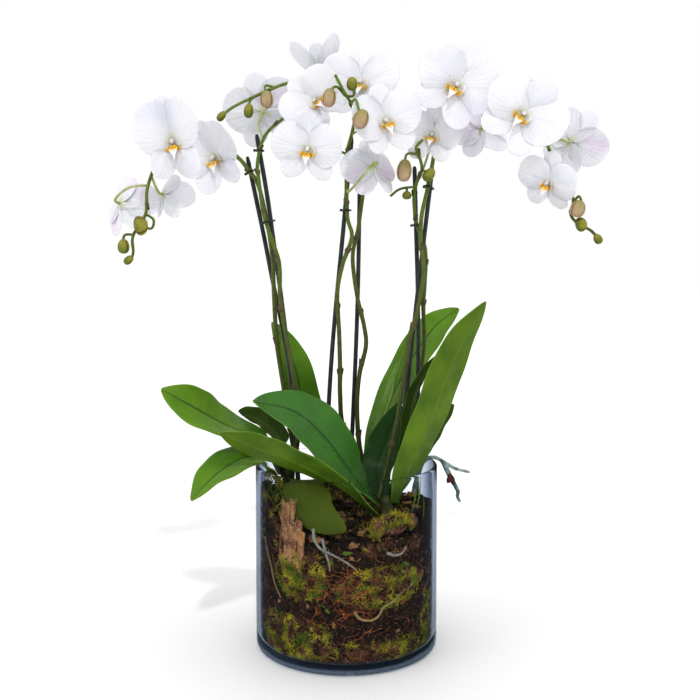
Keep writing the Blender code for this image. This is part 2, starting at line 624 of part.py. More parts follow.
def make_flower(name, flower, collection, material):
    span = FLOWER_SPAN * flower["size"]
    frame = flower_frame(flower)
    bm = bmesh.new()
    middle = bm.verts.new((0, 0, 0))
    rings = []
    for share in (0.5, 1.0):
        ring = []
        for step in range(FLOWER_POINTS):
            angle = 360 * step / FLOWER_POINTS
            reach = share * outline(angle) * span
            rise = flower["cup"] * (reach / (span / 2)) ** 2 * span / 2
            x, z = reach * sin(radians(angle)), reach * cos(radians(angle))
            rise += abs(x) * sin(flower["fold"])
            ring.append(bm.verts.new((x * cos(flower["fold"]), -rise, z)))
        rings.append(ring)
    for step in range(FLOWER_POINTS):
        after = (step + 1) % FLOWER_POINTS
        bm.faces.new((middle, rings[0][after], rings[0][step]))
        for inner, outer in zip(rings, rings[1:]):
            bm.faces.new((inner[step], inner[after], outer[after], outer[step]))
    item = add_object(name, mesh_from(bm, name), collection, material)
    solidify = item.modifiers.new("petals", "SOLIDIFY")
    solidify.thickness = PETAL_THICKNESS
    solidify.offset = 0.0
    lip = bmesh.new()
    size = Vector(LIP_SIZE) * flower["size"]
    bmesh.ops.create_uvsphere(lip, u_segments=8, v_segments=6, radius=1.0,
                              matrix=Matrix.Diagonal((*size, 1.0)))
    bmesh.ops.translate(lip, verts=lip.verts, vec=Vector(LIP_PLACE) * flower["size"])
    boolean(item, mesh_from(lip, "lip"), "UNION")
    item.data.transform(frame)
    item.data.materials.clear()
    item.data.materials.append(material)
    return item


def bud_mesh(bud):
    wide, deep, tall = (Vector(bud["size"]) / 2000)
    bm = bmesh.new()
    bmesh.ops.create_uvsphere(bm, u_segments=8, v_segments=5, radius=1.0,
                              matrix=Matrix.Diagonal((wide, deep, tall, 1.0)))
    turn = Matrix.Rotation(radians(bud["turn"]), 4, "Y")
    bmesh.ops.transform(bm, matrix=Matrix.Translation(mm(bud["place"])) @ turn, verts=bm.verts)
    return mesh_from(bm, "bud")


def make_spike(name, spike, collection, material):
    """The stem, with its flower stalks and buds grown on it, as one body."""
    mesh = tube_mesh(name, [mm(point) for point in spike["stem"]], SPIKE_RADIUS, SPIKE_TIP_RADIUS)
    item = add_object(name, mesh, collection)
    for flower_name, route in spike["shoots"].items():
        frame = flower_frame(FLOWERS[flower_name])
        behind = PETAL_THICKNESS + GAP
        ending = [frame @ Vector((0, behind + STALK_STRAIGHT, 0)), frame @ Vector((0, behind, 0))]
        points = [mm(point) for point in route] + ending
        boolean(item, tube_mesh("shoot", points, PEDICEL_RADIUS, PEDICEL_RADIUS, sides=4), "UNION")
    for bud in spike["buds"]:
        route = [mm(point) for point in bud["shoot"]]
        if bud["place"]:
            if route:
                route.append(mm(bud["place"]))
            boolean(item, bud_mesh(bud), "UNION")
        if route:
            boolean(item, tube_mesh("shoot", route, PEDICEL_RADIUS, PEDICEL_RADIUS, sides=4), "UNION")
    item.data.materials.clear()
    item.data.materials.append(material)
    return item


def route_at(route, height):
    """A route's centre and direction at a height in millimetres."""
    path = smooth_path([mm(point) for point in route], 121)
    for first, second in zip(path, path[1:]):
        if second.z * 1000 >= height:
            return first.lerp(second, (height / 1000 - first.z) / (second.z - first.z)), second - first
    return path[-1], path[-1] - path[-2]


def make_stakes(collection, material):
    for name, route in STAKES.items():
        mesh = tube_mesh(name, [mm(point) for point in route], STAKE_RADIUS, STAKE_RADIUS, steps=3)
        add_object(name, mesh, collection, material)


def make_clips(collection, material):
    """Oval plastic loops around a spike and its stake, each with two finger tabs."""
    for number, clip in enumerate(CLIPS, 1):
        stake, along = route_at(STAKES["stake_" + clip["pair"]], clip["height"])
        stem, stem_along = route_at(SPIKES["spike_" + clip["pair"]]["stem"], clip["height"])
        between = stem - stake
        room = STAKE_RADIUS + CLIP_WIRE + CLIP_ROOM
        up = (along.normalized() + stem_along.normalized()).normalized()
        side = between.cross(up).normalized()
        ahead = up.cross(side)
        bm = bmesh.new()
        loops = []
        for step in range(CLIP_STEPS):
            angle = 2 * pi * step / CLIP_STEPS
            outward = Vector((cos(angle), sin(angle), 0))
            spot = outward * room
            if abs(outward.y) > 0.01:
                spot.y += between.length / 2 * (1 if outward.y > 0 else -1)
            loops.append([bm.verts.new(spot + outward * CLIP_WIRE * cos(tilt)
                                       + Vector((0, 0, CLIP_WIRE * sin(tilt))))
                          for tilt in (pi / 4, 3 * pi / 4, 5 * pi / 4, 7 * pi / 4)])
        for first, second in zip(loops, loops[1:] + loops[:1]):
            for turn in range(4):
                beside = (turn + 1) % 4
                bm.faces.new((first[turn], second[turn], second[beside], first[beside]))
        name = "clip_%d" % number
        item = add_object(name, mesh_from(bm, name), collection)
        for edge in (-1, 1):
            tab = bmesh.new()
            bmesh.ops.create_cube(tab, size=1.0, matrix=Matrix.Diagonal((*CLIP_TAB, 1.0)))
            bmesh.ops.translate(tab, verts=tab.verts, vec=(edge * (room + CLIP_TAB[0] / 2), 0.0, 0.0))
            boolean(item, mesh_from(tab, "tab"), "UNION")
        turn = Matrix((side, ahead, up)).transposed().to_4x4()
        item.data.transform(Matrix.Translation(stake.lerp(stem, 0.5)) @ turn)
        item.data.materials.clear()
        item.data.materials.append(material)


def make_aerial_root(collection, material):
    """A silvery root that climbs out over the rim at the right and forks."""
    mesh = tube_mesh("aerial_root", [mm(point) for point in ROOT_MAIN], ROOT_RADIUS, ROOT_TIP_RADIUS)
    item = add_object("aerial_root", mesh, collection)
    fork = tube_mesh("fork", [mm(point) for point in ROOT_FORK], ROOT_RADIUS, ROOT_TIP_RADIUS)
    boolean(item, fork, "UNION")
    item.data.materials.clear()
    item.data.materials.append(material)


def build():
    collection = new_collection(OBJECT_NAME)
    materials = {name: make_material(name) for name in COLOURS}
    make_vase(collection, materials["glass"])
    make_mix(collection, materials["mix"])
    add_object("bark_slab", slab_mesh("bark_slab"), collection, materials["bark"])
    add_object("moss_mound", mound_mesh("moss_mound"), collection, materials["moss"])
    make_crowns(collection, materials["crown"])
    for name, leaf in LEAVES.items():
        make_leaf(name, leaf, collection, materials["leaf"])
    make_stakes(collection, materials["stake"])
    for name, spike in SPIKES.items():
        make_spike(name, spike, collection, materials["spike"])
    for name, flower in FLOWERS.items():
        make_flower(name, flower, collection, materials["petal"])
    make_clips(collection, materials["clip"])
    make_aerial_root(collection, materials["root"])


clear_scene()
TOOLS = new_collection("tools")
build()
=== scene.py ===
import random
from math import cos, exp, pi, radians, sin, sqrt, tau

import bmesh
import bpy
from mathutils import Matrix, Vector, noise


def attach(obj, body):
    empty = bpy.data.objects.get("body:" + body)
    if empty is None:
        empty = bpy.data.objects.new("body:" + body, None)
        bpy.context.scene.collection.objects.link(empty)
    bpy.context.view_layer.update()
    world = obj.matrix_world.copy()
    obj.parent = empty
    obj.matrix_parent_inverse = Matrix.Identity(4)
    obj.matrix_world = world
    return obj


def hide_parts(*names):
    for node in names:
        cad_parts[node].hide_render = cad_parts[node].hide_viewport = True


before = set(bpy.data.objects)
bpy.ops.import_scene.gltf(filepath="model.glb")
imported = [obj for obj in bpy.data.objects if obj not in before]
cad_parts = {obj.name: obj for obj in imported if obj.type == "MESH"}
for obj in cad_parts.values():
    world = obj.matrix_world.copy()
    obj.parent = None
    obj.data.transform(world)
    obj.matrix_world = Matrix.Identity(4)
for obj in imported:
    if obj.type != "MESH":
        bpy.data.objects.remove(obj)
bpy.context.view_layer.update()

sheetMap = "sheetMap"      # UV map of every petal and leaf: across, then base to tip


def toMetres(point):
    return Vector(point) / 1000


def mixed(low, high, share):
    return low + (high - low) * share


def smoothRoute(points, count):
    line = [points[0] * 2 - points[1], *points, points[-1] * 2 - points[-2]]
    route = []
    for step in range(count):
        along = step / (count - 1) * (len(points) - 1)
        index = min(int(along), len(points) - 2)
        t = along - index
        a, b, c, d = line[index:index + 4]
        route.append(0.5 * (2 * b + (c - a) * t + (2 * a - 5 * b + 4 * c - d) * t * t
                            + (3 * b - a - 3 * c + d) * t ** 3))
    return route


def tubeMesh(runs, sides=12):
    # one curve, a spline for each run of (points, radii), made into a mesh
    curve = bpy.data.curves.new("tube", "CURVE")
    curve.dimensions = "3D"
    curve.bevel_depth = 1.0
    curve.bevel_resolution = (sides - 4) // 2
    curve.use_fill_caps = True
    for points, radii in runs:
        spline = curve.splines.new("POLY")
        spline.points.add(len(points) - 1)
        for spot, place, radius in zip(spline.points, points, radii):
            spot.co = (*place, 1.0)
            spot.radius = radius
    holder = bpy.data.objects.new("tube", curve)
    bpy.context.scene.collection.objects.link(holder)
    mesh = bpy.data.meshes.new_from_object(holder.evaluated_get(bpy.context.evaluated_depsgraph_get()))
    bpy.data.objects.remove(holder)
    bpy.data.curves.remove(curve)
    return mesh


def facesOf(verts):
    return {face for vert in verts for face in vert.link_faces}


def addMesh(bm, mesh, materialIndex=0):
    # adds a finished mesh to bm and throws it away
    before = len(bm.faces)
    bm.from_mesh(mesh)
    bm.faces.ensure_lookup_table()
    for face in bm.faces[before:]:
        face.material_index = materialIndex
    bpy.data.meshes.remove(mesh)


def addSheet(bm, across, along, shape, materialIndex=0):
    # a grid whose points are moved by shape(u, v): u is -1 to 1 across and v is 0 to 1 along
    uvLayer = bm.loops.layers.uv.get(sheetMap) or bm.loops.layers.uv.new(sheetMap)
    verts = bmesh.ops.create_grid(bm, x_segments=across, y_segments=along, size=0.5)["verts"]
    for face in facesOf(verts):
        face.material_index = materialIndex
        for loop in face.loops:
            loop[uvLayer].uv = (loop.vert.co.x + 0.5, loop.vert.co.y + 0.5)
    for vert in verts:
        vert.co = shape(vert.co.x * 2, vert.co.y + 0.5)
    return verts


def addBall(bm, place, size, turn=None, segments=16, rings=10, materialIndex=0):
    matrix = Matrix.Translation(place) @ (turn or Matrix()) @ Matrix.Diagonal((*size, 1.0))
    verts = bmesh.ops.create_uvsphere(bm, u_segments=segments, v_segments=rings, radius=1.0,
                                      matrix=matrix)["verts"]
    for face in facesOf(verts):
        face.material_index = materialIndex
    return verts


def pieceName(node):
    return node.replace("_", "-")


def finishPiece(name, bm, materials, nodes=(), sharp=None, recalc=True):
    if recalc:
        bmesh.ops.recalc_face_normals(bm, faces=bm.faces)
    mesh = bpy.data.meshes.new(name)
    bm.to_mesh(mesh)
    bm.free()
    mesh.shade_smooth()
    if sharp:
        mesh.set_sharp_from_angle(angle=radians(sharp))
    for material in materials:
        mesh.materials.append(material)
    piece = bpy.data.objects.new(name, mesh)
    bpy.context.scene.collection.objects.link(piece)
    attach(piece, "root")
    if nodes:
        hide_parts(*nodes)
    return piece


def addSolidify(piece, thickness, offset=0.0):
    solid = piece.modifiers.new("thickness", "SOLIDIFY")
    solid.thickness = thickness
    solid.offset = offset
    solid.material_offset = 1      # the far side takes the next material
    solid.material_offset_rim = 0


def addSubsurf(piece, levels):
    smooth = piece.modifiers.new("smooth", "SUBSURF")
    smooth.levels = levels
    smooth.render_levels = levels


def addNode(tree, kind, inputs=None, **settings):
    item = tree.nodes.new(kind)
    for key, value in settings.items():
        setattr(item, key, value)
    for key, value in (inputs or {}).items():
        if isinstance(value, bpy.types.NodeSocket):
            tree.links.new(value, item.inputs[key])
        else:
            item.inputs[key].default_value = value
    return item


def maths(tree, first, second, operation="MULTIPLY"):
    return addNode(tree, "ShaderNodeMath", {0: first, 1: second}, operation=operation).outputs[0]


def addRamp(tree, factor, stops):
    ramp = addNode(tree, "ShaderNodeValToRGB", {"Fac": factor})
    elements = ramp.color_ramp.elements
    while len(elements) < len(stops):
        elements.new(0.5)
    for element, (position, colour) in zip(elements, stops):
        element.position = position
        element.color = (*colour, 1.0)
    return ramp.outputs["Color"]


def mixColours(tree, factor, low, high, blend="MIX"):
    item = addNode(tree, "ShaderNodeMix", data_type="RGBA", blend_type=blend)
    for socket, value in ((item.inputs[0], factor), (item.inputs[6], low), (item.inputs[7], high)):
        if isinstance(value, bpy.types.NodeSocket):
            tree.links.new(value, socket)
        else:
            socket.default_value = value if isinstance(value, float) else (*value, 1.0)
    return item.outputs[2]


def newMaterial(name, roughness=0.5, **values):
    material = bpy.data.materials.new(name)
    material.use_nodes = True
    shader = material.node_tree.nodes["Principled BSDF"]
    shader.inputs["Roughness"].default_value = roughness
    for key, value in values.items():
        shader.inputs[key].default_value = value
    place = addNode(material.node_tree, "ShaderNodeTexCoord").outputs["Object"]
    return material, material.node_tree, shader, place


def paint(tree, shader, colour):
    tree.links.new(colour, shader.inputs["Base Color"])


def newGroup(name, inputs, outputs):
    group = bpy.data.node_groups.new(name, "ShaderNodeTree")
    for key, (kind, value) in inputs.items():
        socket = group.interface.new_socket(key, in_out="INPUT", socket_type="NodeSocket" + kind)
        if value is not None:
            socket.default_value = value
    for key, kind in outputs.items():
        group.interface.new_socket(key, in_out="OUTPUT", socket_type="NodeSocket" + kind)
    start = group.nodes.new("NodeGroupInput")
    end = group.nodes.new("NodeGroupOutput")
    return group, start, end


def makePatchGroup():
    # soft-edged random patches
    group, start, end = newGroup("patches", {"Vector": ("Vector", None), "Scale": ("Float", 40.0),
                                             "Detail": ("Float", 3.0), "From": ("Float", 0.4),
                                             "To": ("Float", 0.6)}, {"Mask": "Float"})
    grain = addNode(group, "ShaderNodeTexNoise", {"Vector": start.outputs["Vector"],
                                                  "Scale": start.outputs["Scale"],
                                                  "Detail": start.outputs["Detail"]})
    ranged = addNode(group, "ShaderNodeMapRange", {"Value": grain.outputs["Fac"],
                                                   "From Min": start.outputs["From"],
                                                   "From Max": start.outputs["To"]})
    group.links.new(ranged.outputs["Result"], end.inputs["Mask"])
    return group


def makeVeinGroup():
    # fine lines that run along a sheet, from its own UV map
    group, start, end = newGroup("veins", {"Count": ("Float", 16.0), "Wander": ("Float", 1.0),
                                           "Sharp": ("Float", 2.0)}, {"Lines": "Float"})
    uv = addNode(group, "ShaderNodeUVMap", uv_map=sheetMap)
    parts = addNode(group, "ShaderNodeSeparateXYZ", {"Vector": uv.outputs["UV"]})
    across = maths(group, parts.outputs["X"], start.outputs["Count"])
    slow = maths(group, parts.outputs["Y"], 0.6)
    vector = addNode(group, "ShaderNodeCombineXYZ", {"X": across, "Y": slow})
    wave = addNode(group, "ShaderNodeTexWave", {"Vector": vector.outputs[0], "Scale": 0.32,
                                                "Distortion": start.outputs["Wander"], "Detail": 2.0,
                                                "Detail Scale": 1.2}, wave_profile="SIN")
    lines = maths(group, wave.outputs["Fac"], start.outputs["Sharp"], "POWER")
    group.links.new(lines, end.inputs["Lines"])
    return group


patchGroup = makePatchGroup()
veinGroup = makeVeinGroup()


def addPatches(tree, vector, scale, low=0.4, high=0.6, detail=3.0):
    item = addNode(tree, "ShaderNodeGroup", node_tree=patchGroup)
    tree.links.new(vector, item.inputs["Vector"])
    for key, value in (("Scale", scale), ("From", low), ("To", high), ("Detail", detail)):
        item.inputs[key].default_value = value
    return item.outputs["Mask"]


def addVeins(tree, count, wander, sharp):
    item = addNode(tree, "ShaderNodeGroup", node_tree=veinGroup)
    for key, value in (("Count", count), ("Wander", wander), ("Sharp", sharp)):
        item.inputs[key].default_value = value
    return item.outputs["Lines"]


def addBump(tree, shader, height, strength, distance=0.0004):
    bump = addNode(tree, "ShaderNodeBump", {"Height": height, "Strength": strength, "Distance": distance})
    tree.links.new(bump.outputs["Normal"], shader.inputs["Normal"])


def uvParts(tree):
    uv = addNode(tree, "ShaderNodeUVMap", uv_map=sheetMap)
    parts = addNode(tree, "ShaderNodeSeparateXYZ", {"Vector": uv.outputs["UV"]})
    return parts.outputs["X"], parts.outputs["Y"]


def rangeOf(tree, value, fromLow, fromHigh, toLow=0.0, toHigh=1.0):
    return addNode(tree, "ShaderNodeMapRange", {"Value": value, "From Min": fromLow, "From Max": fromHigh,
                                                "To Min": toLow, "To Max": toHigh}).outputs["Result"]


petalLooks = {
    "petalFront": {"main": (0.79, 0.79, 0.82), "tint": (0.70, 0.70, 0.79), "vein": (0.64, 0.65, 0.75),
                   "heart": (0.68, 0.72, 0.46), "veinShare": 0.12, "tintShare": 0.6},
    "petalBack": {"main": (0.79, 0.80, 0.84), "tint": (0.73, 0.62, 0.76), "vein": (0.68, 0.64, 0.76),
                  "heart": (0.66, 0.70, 0.34), "veinShare": 0.2, "tintShare": 0.75},
}


def makePetalMaterial(name, look):
    material, tree, shader, place = newMaterial(name, 0.55, **{"Subsurface Weight": 0.22,
                                                               "Subsurface Scale": 0.004,
                                                               "Subsurface Radius": (1.0, 0.9, 0.9),
                                                               "Sheen Weight": 0.08,
                                                               "Specular IOR Level": 0.3})
    lines = addVeins(tree, 17.0, 2.2, 2.5)
    along = uvParts(tree)[1]
    tint = maths(tree, addPatches(tree, place, 24.0, 0.48, 0.66), look["tintShare"])
    colour = mixColours(tree, tint, look["main"], look["tint"])
    colour = mixColours(tree, maths(tree, lines, look["veinShare"]), colour, look["vein"])
    colour = mixColours(tree, rangeOf(tree, along, 0.24, 0.02), colour, look["heart"])
    paint(tree, shader, colour)
    grain = addPatches(tree, place, 900.0, 0.3, 0.7, 2.0)
    height = maths(tree, maths(tree, lines, 0.75), maths(tree, grain, 0.25), "ADD")
    addBump(tree, shader, height, 0.55, 0.0004)
    return material


def makeLipMaterial():
    material, tree, shader, place = newMaterial("orchidLip", 0.4, **{"Subsurface Weight": 0.15,
                                                                     "Subsurface Scale": 0.002})
    along = uvParts(tree)[1]
    edge = maths(tree, along, maths(tree, addPatches(tree, place, 260.0, 0.3, 0.7), 0.22), "ADD")
    colour = addRamp(tree, edge, [(0.0, (0.84, 0.46, 0.008)), (0.34, (0.90, 0.60, 0.016)),
                                  (0.56, (0.88, 0.76, 0.34)), (0.72, (0.80, 0.80, 0.84))])
    specks = addPatches(tree, place, 950.0, 0.58, 0.64, 1.0)
    stripes = rangeOf(tree, addVeins(tree, 12.0, 1.2, 3.0), 0.35, 0.6)
    marks = maths(tree, maths(tree, specks, stripes, "MAXIMUM"), rangeOf(tree, along, 0.62, 0.35))
    colour = mixColours(tree, maths(tree, marks, 0.8), colour, (0.36, 0.06, 0.01))
    paint(tree, shader, colour)
    addBump(tree, shader, specks, 0.3, 0.0003)
    return material


def makeCallusMaterial():
    material, tree, shader, place = newMaterial("orchidCallus", 0.35, **{"Subsurface Weight": 0.1,
                                                                         "Subsurface Scale": 0.002})
    specks = addPatches(tree, place, 1100.0, 0.55, 0.62, 1.0)
    colour = mixColours(tree, specks, (0.90, 0.56, 0.010), (0.40, 0.07, 0.008))
    paint(tree, shader, colour)
    addBump(tree, shader, addPatches(tree, place, 800.0), 0.4, 0.0003)
    return material


def makeColumnMaterial():
    material, tree, shader, place = newMaterial("orchidColumn", 0.4, **{"Subsurface Weight": 0.2,
                                                                        "Subsurface Scale": 0.003})
    colour = mixColours(tree, addPatches(tree, place, 300.0), (0.74, 0.73, 0.76), (0.68, 0.60, 0.70))
    paint(tree, shader, colour)
    addBump(tree, shader, addPatches(tree, place, 1200.0), 0.2, 0.0002)
    return material


# colours of the base (painted shade), middle, tip, rib and margin, then roughness, gloss and how much the
# margin shows
leafLooks = {
    "leafFresh": {"shade": (0.016, 0.060, 0.003), "main": (0.056, 0.172, 0.003),
                  "tint": (0.165, 0.320, 0.005), "rib": (0.020, 0.080, 0.003),
                  "margin": (0.160, 0.280, 0.025), "rough": 0.33, "gloss": 0.42, "edge": 0.5},
    "leafCool": {"shade": (0.008, 0.042, 0.004), "main": (0.020, 0.112, 0.008),
                 "tint": (0.055, 0.195, 0.010), "rib": (0.009, 0.055, 0.006),
                 "margin": (0.130, 0.250, 0.035), "rough": 0.27, "gloss": 0.6, "edge": 0.5},
    # a darker copy of these leaf colours: painted shade for leaves that sit in shade behind others
    "leafPaintedShade": {"shade": (0.004, 0.022, 0.003), "main": (0.010, 0.055, 0.006),
                 "tint": (0.028, 0.110, 0.008), "rib": (0.006, 0.032, 0.004),
                 "margin": (0.070, 0.160, 0.020), "rough": 0.38, "gloss": 0.35, "edge": 0.4},
    "leafUnder": {"shade": (0.018, 0.045, 0.003), "main": (0.046, 0.110, 0.003),
                  "tint": (0.145, 0.245, 0.010), "rib": (0.125, 0.200, 0.015),
                  "margin": (0.140, 0.220, 0.030), "rough": 0.5, "gloss": 0.3, "edge": 0.35},
    "leafOlive": {"shade": (0.040, 0.060, 0.006), "main": (0.070, 0.098, 0.009),
                  "tint": (0.098, 0.132, 0.014), "rib": (0.078, 0.110, 0.010),
                  "margin": (0.100, 0.150, 0.012), "rough": 0.6, "gloss": 0.15, "edge": 0.2},
    # a darker copy of leafUnder: painted shade for the undersides of leaves in shade
    "leafUnderPaintedShade": {"shade": (0.008, 0.020, 0.002), "main": (0.024, 0.050, 0.004),
                      "tint": (0.060, 0.105, 0.007), "rib": (0.070, 0.120, 0.010),
                      "margin": (0.100, 0.180, 0.020), "rough": 0.6, "gloss": 0.1, "edge": 0.8},
}


def makeLeafMaterial(name, look):
    material, tree, shader, place = newMaterial(name, look["rough"], **{"Specular IOR Level": look["gloss"]})
    across, along = uvParts(tree)
    away = maths(tree, maths(tree, across, 0.5, "SUBTRACT"), 0.0, "ABSOLUTE")
    lines = addVeins(tree, 30.0, 1.0, 1.5)
    colour = mixColours(tree, addPatches(tree, place, 26.0, 0.35, 0.68), look["main"], look["tint"])
    colour = mixColours(tree, maths(tree, lines, 0.45), colour, look["tint"])
    fade = maths(tree, rangeOf(tree, along, 0.25, 0.95), 0.45)
    colour = mixColours(tree, fade, colour, look["tint"])
    fine = addVeins(tree, 74.0, 2.0, 2.2)
    colour = mixColours(tree, maths(tree, fine, 0.40), colour, look["main"])
    # painted shade: darker towards the base of the leaf
    colour = mixColours(tree, maths(tree, rangeOf(tree, along, 0.34, 0.0), 0.55), colour, look["shade"])
    colour = mixColours(tree, rangeOf(tree, away, 0.030, 0.012), colour, look["rib"])
    colour = mixColours(tree, maths(tree, rangeOf(tree, away, 0.476, 0.494), look["edge"]), colour,
                        look["margin"])
    spots = addPatches(tree, place, 420.0, 0.63, 0.70, 2.0)
    colour = mixColours(tree, maths(tree, spots, 0.35), colour, look["margin"])
    paint(tree, shader, colour)
    grain = addPatches(tree, place, 700.0, 0.3, 0.7, 2.0)
    height = maths(tree, maths(tree, lines, 0.7), maths(tree, grain, 0.3), "ADD")
    addBump(tree, shader, height, 0.35, 0.0005)
    rough = rangeOf(tree, addPatches(tree, place, 90.0), 0.0, 1.0, look["rough"] - 0.06, look["rough"] + 0.1)
    tree.links.new(rough, shader.inputs["Roughness"])
    return material


def makeStemMaterial():
    # green above, olive and brown towards the crown
    material, tree, shader, place = newMaterial("spikeStem", 0.42, **{"Specular IOR Level": 0.4})
    height = addNode(tree, "ShaderNodeSeparateXYZ", {"Vector": place}).outputs["Z"]
    colour = addRamp(tree, rangeOf(tree, height, 0.16, 0.62),
                     [(0.0, (0.050, 0.065, 0.012)), (0.45, (0.095, 0.125, 0.016)),
                      (0.75, (0.130, 0.195, 0.022)), (1.0, (0.17, 0.270, 0.035))])
    colour = mixColours(tree, maths(tree, addPatches(tree, place, 160.0, 0.5, 0.7), 0.6), colour,
                        (0.060, 0.030, 0.012))
    colour = mixColours(tree, maths(tree, addPatches(tree, place, 900.0, 0.56, 0.64), 0.4), colour,
                        (0.15, 0.18, 0.05))
    paint(tree, shader, colour)
    addBump(tree, shader, addPatches(tree, place, 700.0), 0.3, 0.0003)
    return material


def makeSpotMaterial(name, main, other, spot, roughness, scale, bumpScale, strength, spotShare):
    # main colour with soft patches of another and small spots of a third
    material, tree, shader, place = newMaterial(name, roughness)
    colour = mixColours(tree, addPatches(tree, place, scale, 0.38, 0.62), main, other)
    spots = addPatches(tree, place, scale * 5.0, 0.56, 0.66)
    paint(tree, shader, mixColours(tree, maths(tree, spots, spotShare), colour, spot))
    addBump(tree, shader, addPatches(tree, place, bumpScale, 0.3, 0.7, 4.0), strength, 0.0005)
    return material


def makeBudMaterial(name, base, tip, seam):
    # lighter at the stalk, with dark seams between the folded sepals
    material, tree, shader, place = newMaterial(name, 0.38, **{"Specular IOR Level": 0.4})
    across, along = uvParts(tree)
    patchy = maths(tree, along, maths(tree, addPatches(tree, place, 190.0), 0.25), "ADD")
    colour = mixColours(tree, rangeOf(tree, patchy, 0.85, 0.35), base, tip)
    third = maths(tree, maths(tree, across, 3.0), 1.0, "MODULO")
    away = maths(tree, maths(tree, third, 0.5, "SUBTRACT"), 0.0, "ABSOLUTE")
    line = rangeOf(tree, away, 0.085, 0.015)
    colour = mixColours(tree, maths(tree, line, 0.95), colour, seam)
    streaks = addVeins(tree, 34.0, 1.6, 1.6)
    colour = mixColours(tree, maths(tree, streaks, 0.55), colour, seam)
    paint(tree, shader, colour)
    addBump(tree, shader, streaks, 0.6, 0.0005)
    return material


def makeGlassMaterial():
    # painted blue-grey shade where the glass is seen edge on, a blue-grey tint in the thick foot with a faint
    # painted glow there; clear to shadow rays
    material, tree, shader, place = newMaterial("vaseGlass", 0.0, **{"Transmission Weight": 1.0, "IOR": 1.05,
                                                                     "Specular Tint": (0.7, 0.76, 0.85, 1.0)})
    # painted shade: the colour darkens to blue-grey where the glass is seen edge on
    facing = addNode(tree, "ShaderNodeLayerWeight", {"Blend": 0.5}).outputs["Facing"]
    edge = addRamp(tree, facing, [(0.0, (0.98, 0.985, 0.99)), (0.36, (0.90, 0.925, 0.95)),
                                  (0.55, (0.50, 0.56, 0.65)), (0.72, (0.20, 0.245, 0.32)),
                                  (1.0, (0.13, 0.16, 0.22))])
    height = addNode(tree, "ShaderNodeSeparateXYZ", {"Vector": place}).outputs["Z"]
    foot = rangeOf(tree, height, 0.016, 0.012)
    colour = mixColours(tree, foot, edge, (0.50, 0.57, 0.66))
    paint(tree, shader, colour)
    # painted light: a faint glow of its own in the thick foot, though it is no lamp
    paintedFootGlow = mixColours(tree, foot, (0.0, 0.0, 0.0), (0.005, 0.007, 0.010))
    tree.links.new(paintedFootGlow, shader.inputs["Emission Color"])
    shader.inputs["Emission Strength"].default_value = 1.0
    clear = addNode(tree, "ShaderNodeBsdfTransparent", {"Color": (0.88, 0.90, 0.92, 1.0)})
    path = addNode(tree, "ShaderNodeLightPath")
    mix = addNode(tree, "ShaderNodeMixShader", {0: path.outputs["Is Shadow Ray"],
                                                1: shader.outputs["BSDF"], 2: clear.outputs["BSDF"]})
    tree.links.new(mix.outputs["Shader"], tree.nodes["Material Output"].inputs["Surface"])
    return material


spotLooks = {     # main colour, patches, spots, roughness, patch scale, bump scale, bump, share of spots
    "stalk": ("flowerStalk", (0.34, 0.42, 0.13), (0.52, 0.54, 0.3), (0.3, 0.18, 0.11),
        0.45, 90, 800, 0.4, 0.4),
    "scale": ("stemScale", (0.16, 0.13, 0.05), (0.09, 0.075, 0.03), (0.05, 0.03, 0.015),
        0.6, 200, 800, 0.4, 0.7),
    "stake": ("stakeCoat", (0.016, 0.021, 0.02), (0.035, 0.044, 0.04), (0.06, 0.07, 0.065),
        0.42, 120, 800, 0.2, 0.4),
    "clip": ("clipPlastic", (0.012, 0.013, 0.013), (0.02, 0.021, 0.021), (0.035, 0.035, 0.035),
        0.38, 150, 800, 0.12, 0.3),
    "soil": ("mixSoil", (0.01, 0.005, 0.004), (0.028, 0.012, 0.007), (0.07, 0.035, 0.018),
        0.95, 60, 420, 1.0, 0.7),
    "chip": ("barkChip", (0.034, 0.014, 0.009), (0.014, 0.006, 0.005), (0.105, 0.052, 0.032),
        0.9, 70, 500, 0.9, 0.7),
    "slab": ("barkSlabSkin", (0.44, 0.24, 0.105), (0.17, 0.08, 0.042), (0.58, 0.4, 0.25),
        0.9, 75, 300, 1.0, 0.7),
    "moss": ("mossStrand", (0.66, 0.58, 0.045), (0.13, 0.22, 0.014), (0.22, 0.11, 0.04),
        0.9, 70, 800, 0.4, 0.8),
    "mossDry": ("mossDryStrand", (0.22, 0.095, 0.055), (0.05, 0.02, 0.013), (0.52, 0.34, 0.17),
        0.9, 75, 800, 0.4, 0.7),
    "root": ("rootSkin", (0.38, 0.35, 0.32), (0.22, 0.23, 0.22), (0.5, 0.46, 0.36),
        0.8, 130, 500, 0.6, 0.7),
    "rootWarm": ("rootWarmSkin", (0.42, 0.25, 0.15), (0.3, 0.28, 0.1), (0.55, 0.4, 0.26),
        0.8, 110, 500, 0.6, 0.7),
    "twig": ("twigSkin", (0.55, 0.17, 0.045), (0.28, 0.08, 0.028), (0.62, 0.3, 0.12),
        0.8, 150, 500, 0.6, 0.7),
    "airRoot": ("airRootSkin", (0.075, 0.15, 0.135), (0.34, 0.42, 0.4), (0.045, 0.09, 0.075),
        0.75, 130, 600, 0.8, 0.7),
    "witheredScrap": ("witheredScrap", (0.1, 0.018, 0.014), (0.045, 0.012, 0.01), (0.16, 0.05, 0.03),
        0.7, 200, 800, 0.4, 0.7),
    "crown": ("crownSkin", (0.035, 0.06, 0.01), (0.06, 0.07, 0.018), (0.1, 0.06, 0.03),
        0.6, 90, 500, 0.5, 0.7),
}
looks = {name: makePetalMaterial(name, look) for name, look in petalLooks.items()}
looks |= {name: makeLeafMaterial(name, look) for name, look in leafLooks.items()}
looks |= {key: makeSpotMaterial(*values) for key, values in spotLooks.items()}
